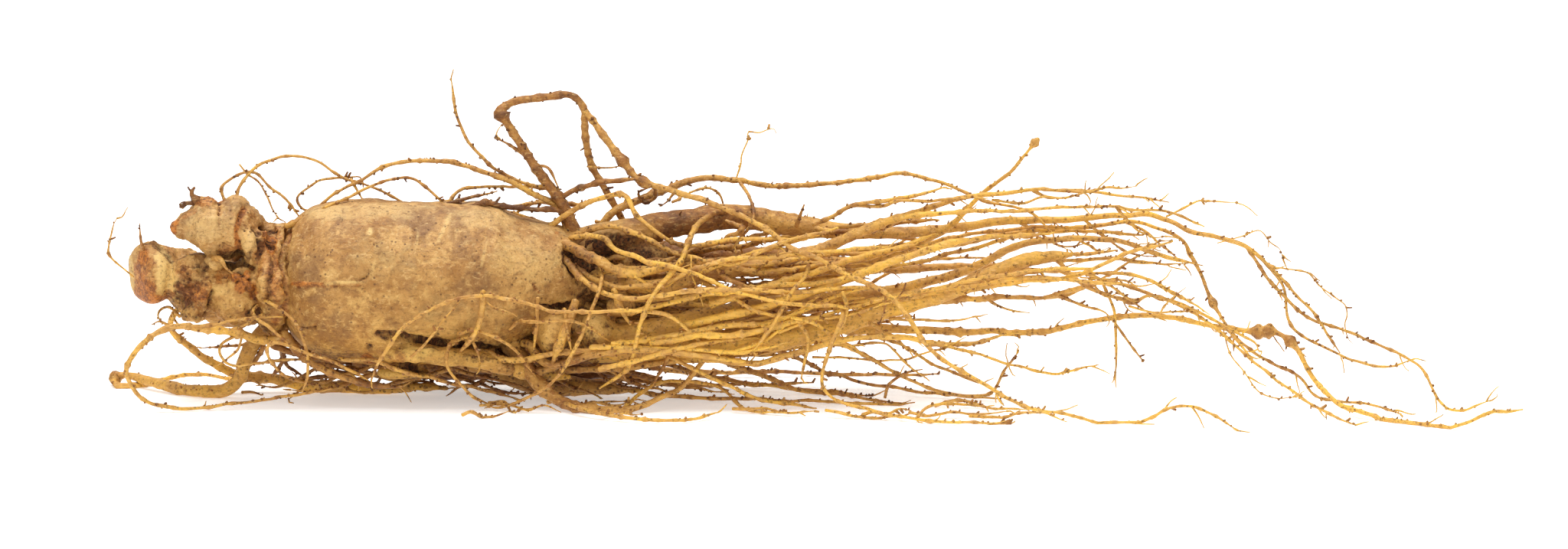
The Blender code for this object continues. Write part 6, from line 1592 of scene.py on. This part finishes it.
def skin_colour(shader, place):
    """Tan skin, multiplied darker and yellower lower down, partly as painted shade on the barrel's
    underside: mottling, short dashes, grey, pale and rusty places, dark specks.
    """
    dashed = shader.stretched((0.62, 1.0, 1.0))
    broad = shader.noise(place, 62.0, 5.0, 0.62)
    mottle = shader.noise(place, 230.0, 6.0, 0.68, 0.5)
    dashes = shader.noise(dashed, 900.0, 5.0, 0.68, 0.4)
    grain = shader.noise(place, 1700.0, 4.0, 0.68)
    bands = shader.noise(shader.stretched((1.0, 0.16, 0.16)), 330.0, 4.0, 0.6)
    rust, pale, worn, grey = (shader.mark(name) for name in ("rust", "pale", "worn", "grey"))

    colour = shader.mix(broad.clamped(0.4, 0.6), tint(166, 117, 60), tint(198, 151, 90))
    colour = shader.mix(mottle.clamped(0.5, 0.6) * 0.5, colour, tint(142, 97, 50))
    colour = shader.mix(mottle.clamped(0.46, 0.36) * 0.5, colour, tint(222, 180, 116))
    colour = shader.mix(bands.clamped(0.54, 0.66) * 0.4, colour, tint(146, 100, 54))
    dusk = (grey + (mottle - 0.5) * 2.4 + (broad - 0.5) * 1.6).clamped(0.15, 0.95)
    colour = shader.mix(dusk * 0.66, colour, tint(128, 90, 56))
    paler = (pale + (mottle - 0.5) * 1.1).clamped(0.15, 0.85)
    colour = shader.mix(paler * 0.82, colour, tint(234, 198, 132))
    colour = shader.mix(worn * 0.3, colour, tint(220, 180, 114))
    colour = shader.mix(dashes.clamped(0.54, 0.63) * 0.5, colour, tint(118, 76, 38))
    colour = shader.mix(dashes.clamped(0.45, 0.36) * 0.42, colour, tint(232, 194, 134))
    colour = shader.mix(grain.clamped(0.55, 0.66) * 0.42, colour, tint(98, 62, 32))
    # Painted shade, with a yellower colour: the skin below 46 mm is multiplied darker and yellower towards
    # the floor.
    low = shader.rise(place).clamped(0.046, 0.01)
    colour = shader.mix(low, colour, (0.98, 0.91, 0.5, 1.0), "MULTIPLY")
    streaks = (dashes - 0.5) * 1.6 + (mottle - 0.5) * 2.0
    varied = (grain + (dashes - 0.5) * 1.6).clamped(0.3, 0.7)
    rusty = shader.mix(varied, tint(198, 120, 42), tint(116, 62, 20))
    colour = shader.mix((rust * 1.8 + streaks - 0.4).clamped(0.0, 0.8) * 0.94, colour, rusty)
    specks = shader.cells(place, 560.0)
    speck = specks.clamped(0.2, 0.1) * shader.noise(place, 130.0, 2.0).clamped(0.42, 0.55)
    return shader.mix(speck * 0.75, colour, tint(84, 48, 22)), mottle, dashes, grain


def bark_colour(shader, place, mottle):
    """Golden-brown bark: tone from the marks, fine dark and pale streaks along the root, the pale ones a
    painted highlight, and dark flecks.
    """
    along = shader.stretched((0.3, 1.0, 1.0))
    tone = shader.mark("tone")
    streaks = shader.noise(along, 1700.0, 4.0, 0.6)
    flecks = shader.noise(place, 900.0, 5.0, 0.7)
    toned = (tone + (mottle - 0.5) * 1.1).clamped(0.0, 1.0)
    stops = ((0.0, tint(94, 55, 25)), (0.28, tint(158, 104, 46)), (0.58, tint(207, 155, 76)),
             (1.0, tint(246, 192, 76)))
    colour = shader.node("ShaderNodeValToRGB", {"stops": stops}, {"Fac": toned})
    colour = shader.mix(streaks.clamped(0.52, 0.74) * 0.4, colour, tint(130, 84, 38))
    # Painted highlight: pale cream streaks along the strands.
    colour = shader.mix(streaks.clamped(0.45, 0.27) * 0.5, colour, tint(250, 210, 136))
    return shader.mix(flecks.clamped(0.55, 0.64) * 0.62, colour, tint(92, 54, 24)), flecks


def root_material():
    """Skin that turns to bark along the roots, with earth, grime_and_shade and dark crumbs over both: these
    darken it as soiling and as painted shade.
    """
    shader = Shader("ginseng root", 0.5, 0.35)
    shader.set("Subsurface Weight", 0.06)
    shader.set("Subsurface Radius", (1.0, 0.45, 0.18))
    shader.set("Subsurface Scale", 0.0016)
    place = shader.place()
    skin, mottle, dashes, grain = skin_colour(shader, place)
    bark, flecks = bark_colour(shader, place, mottle)
    share, earth, dirt = (shader.mark(name) for name in ("bark", "earth", "dirt"))
    colour = shader.mix(share, skin, bark)
    crumbs = (mottle - 0.5) * 1.6 + (flecks - 0.5) * 1.8
    # Painted shade with dirt: grime_and_shade browns the bark where dirt is high.
    grime_and_shade = (dirt * (0.2 + share * 0.8) + crumbs * 0.6).clamped(0.3, 1.0)
    colour = shader.mix(grime_and_shade * 0.72, colour, tint(110, 64, 28))
    sown = (dirt * 1.5 + earth + share * 0.16 + crumbs * 0.5).clamped(0.12, 0.5)
    peppered = shader.cells(place, 850.0).clamped(0.34, 0.2) * sown
    colour = shader.mix(peppered * 0.65, colour, tint(62, 33, 14))
    # Painted shade with earth: loam_and_shade lays dark brown in the hollows, cracks and gaps.
    loam_and_shade = (earth * 1.3 + crumbs - 0.25).clamped(0.12, 0.85)
    soil_and_shade = shader.mix(grain.clamped(0.42, 0.6), tint(30, 15, 7), tint(108, 62, 28))
    colour = shader.mix(loam_and_shade * 0.97, colour, soil_and_shade)
    bumped = shader.bump(dashes, 0.0005, 0.6)
    bumped = shader.bump(grain, 0.00028, 0.6, bumped)
    bumped = shader.bump(mottle, 0.0009, 0.45, bumped)
    bumped = shader.bump(flecks, 0.0004, 0.5, bumped)
    shader.feed("Base Color", colour)
    shader.feed("Roughness", 0.42 + loam_and_shade * 0.4 + grain * 0.16)
    shader.feed("Normal", bumped)
    return shader.material


def floor_material():
    """A pale floor that is lit past white, as a cut-out studio floor is: it shines a little by itself."""
    shader = Shader("pale floor", 0.6, 0.2)
    shader.set("Base Color", (0.86, 0.86, 0.86, 1.0))
    shader.set("Emission Color", (1.0, 0.985, 0.96, 1.0))
    shader.set("Emission Strength", FLOOR_GLOW)
    return shader.material


# Setting


def make_floor():
    """A wide pale sheet under the root: a square of side 2 FLOOR_REACH."""
    points = np.array([(-1, -1, 0), (1, -1, 0), (1, 1, 0), (-1, 1, 0)]) * (FLOOR_REACH / MM)
    no_triangles = np.zeros((0, 3), int)
    floor = mesh_piece("floor", points, [np.array([(0, 1, 2, 3)])], [no_triangles], {})
    floor.data.materials.append(floor_material())


def make_camera():
    """A long lens, VIEW_TILT above the floor, far enough away for the frame to be FRAME_WIDTH wide."""
    data = bpy.data.cameras.new("camera")
    data.lens = LENS
    data.sensor_width = SENSOR
    data.clip_end = 50.0
    camera = bpy.data.objects.new("camera", data)
    distance = FRAME_WIDTH * LENS / SENSOR
    target = np.array((VIEW_MIDDLE_X - REST_X, -REST_Y, VIEW_MIDDLE_Z / math.cos(VIEW_TILT)))
    back = np.array((0.0, -math.cos(VIEW_TILT), math.sin(VIEW_TILT)))
    camera.location = (target + distance * back) * MM
    camera.rotation_euler = (math.pi / 2 - VIEW_TILT, 0.0, 0.0)
    bpy.context.scene.collection.objects.link(camera)
    bpy.context.scene.camera = camera


def make_light(name, place, size, power):
    """A softbox turned to face the middle of the root, and hidden from the camera."""
    data = bpy.data.lights.new(name, "AREA")
    data.shape = "RECTANGLE"
    data.size, data.size_y = size
    data.energy = power
    lamp = bpy.data.objects.new(name, data)
    lamp.visible_camera = False
    lamp.location = place
    heading = unit(np.array(LIT_MIDDLE) - np.array(place))
    flat = math.hypot(heading[0], heading[1])
    lamp.rotation_euler = (math.atan2(flat, -heading[2]), 0.0, math.atan2(-heading[0], heading[1]))
    bpy.context.scene.collection.objects.link(lamp)


def make_lights():
    """Three softboxes, named for the side they stand on, in a white surround."""
    make_light("top softbox", (-0.1, 0.05, 1.3), (1.3, 1.0), TOP_POWER)
    make_light("front softbox", (-0.6, -1.2, 0.7), (0.9, 0.7), FRONT_POWER)
    make_light("right softbox", (1.1, -0.5, 0.6), (0.7, 0.7), SIDE_POWER)
    world = bpy.data.worlds.new("studio")
    world.use_nodes = True
    background = world.node_tree.nodes["Background"]
    background.inputs["Color"].default_value = (1.0, 1.0, 1.0, 1.0)
    background.inputs["Strength"].default_value = WORLD_STRENGTH
    bpy.context.scene.world = world
    bpy.context.scene.view_settings.view_transform = "Standard"


def finish_piece(piece, material):
    """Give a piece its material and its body."""
    piece.data.materials.clear()
    piece.data.materials.append(material)
    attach(piece, BODY)


def make_root():
    """The skin, the rhizome and every root: named ones first, then the seeded strands, then hairs on all."""
    lines = all_lines()
    material = root_material()
    skin = sculpt_skin(melted_body(lines), lines)
    head = sculpt_skin(melted_head(), lines)
    for piece in (skin, head):
        finish_piece(piece, material)
    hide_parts(NODE)

    groups = {key: Bundle() for key in ("legs", "rootlets", "sheaf", "strands", "hairs")}
    for number, (name, (centres, girth)) in enumerate(lines.items()):
        dress_root(groups["legs" if name in LEGS else "rootlets"], name, centres, girth, number + 1)
    sheaf = seeded("sheaf", SHEAF_COUNT + FINE_SHEAF_COUNT, 0, sheaf_strand)
    strands = seeded("mane strand", MANE_COUNT, 1, mane_strand)
    strands += seeded("under", UNDER_COUNT, 2, under_strand)
    strands += seeded("back", BACK_COUNT, 3, back_strand)
    strands += seeded("clutter", CLUTTER_COUNT, 4, clutter_strand)
    strands += tangle_strands(lines)
    for group, routes in (("sheaf", sheaf), ("strands", strands)):
        for name, route, girths in routes:
            centres = smooth_route(route)
            girth = evenly(girths, len(centres))
            seed = 300 + len(lines)
            centres = wavering(centres, girth, seed)
            lines[name] = (centres, girth)
            dress_root(groups[group], name, centres, girth, seed)
    add_hairs(groups["hairs"], lines)
    for name, bundle in groups.items():
        finish_piece(bundle.mesh(f"ginseng_{name}", ("tone", "dirt", "bark")), material)


make_floor()
make_camera()
make_lights()
make_root()
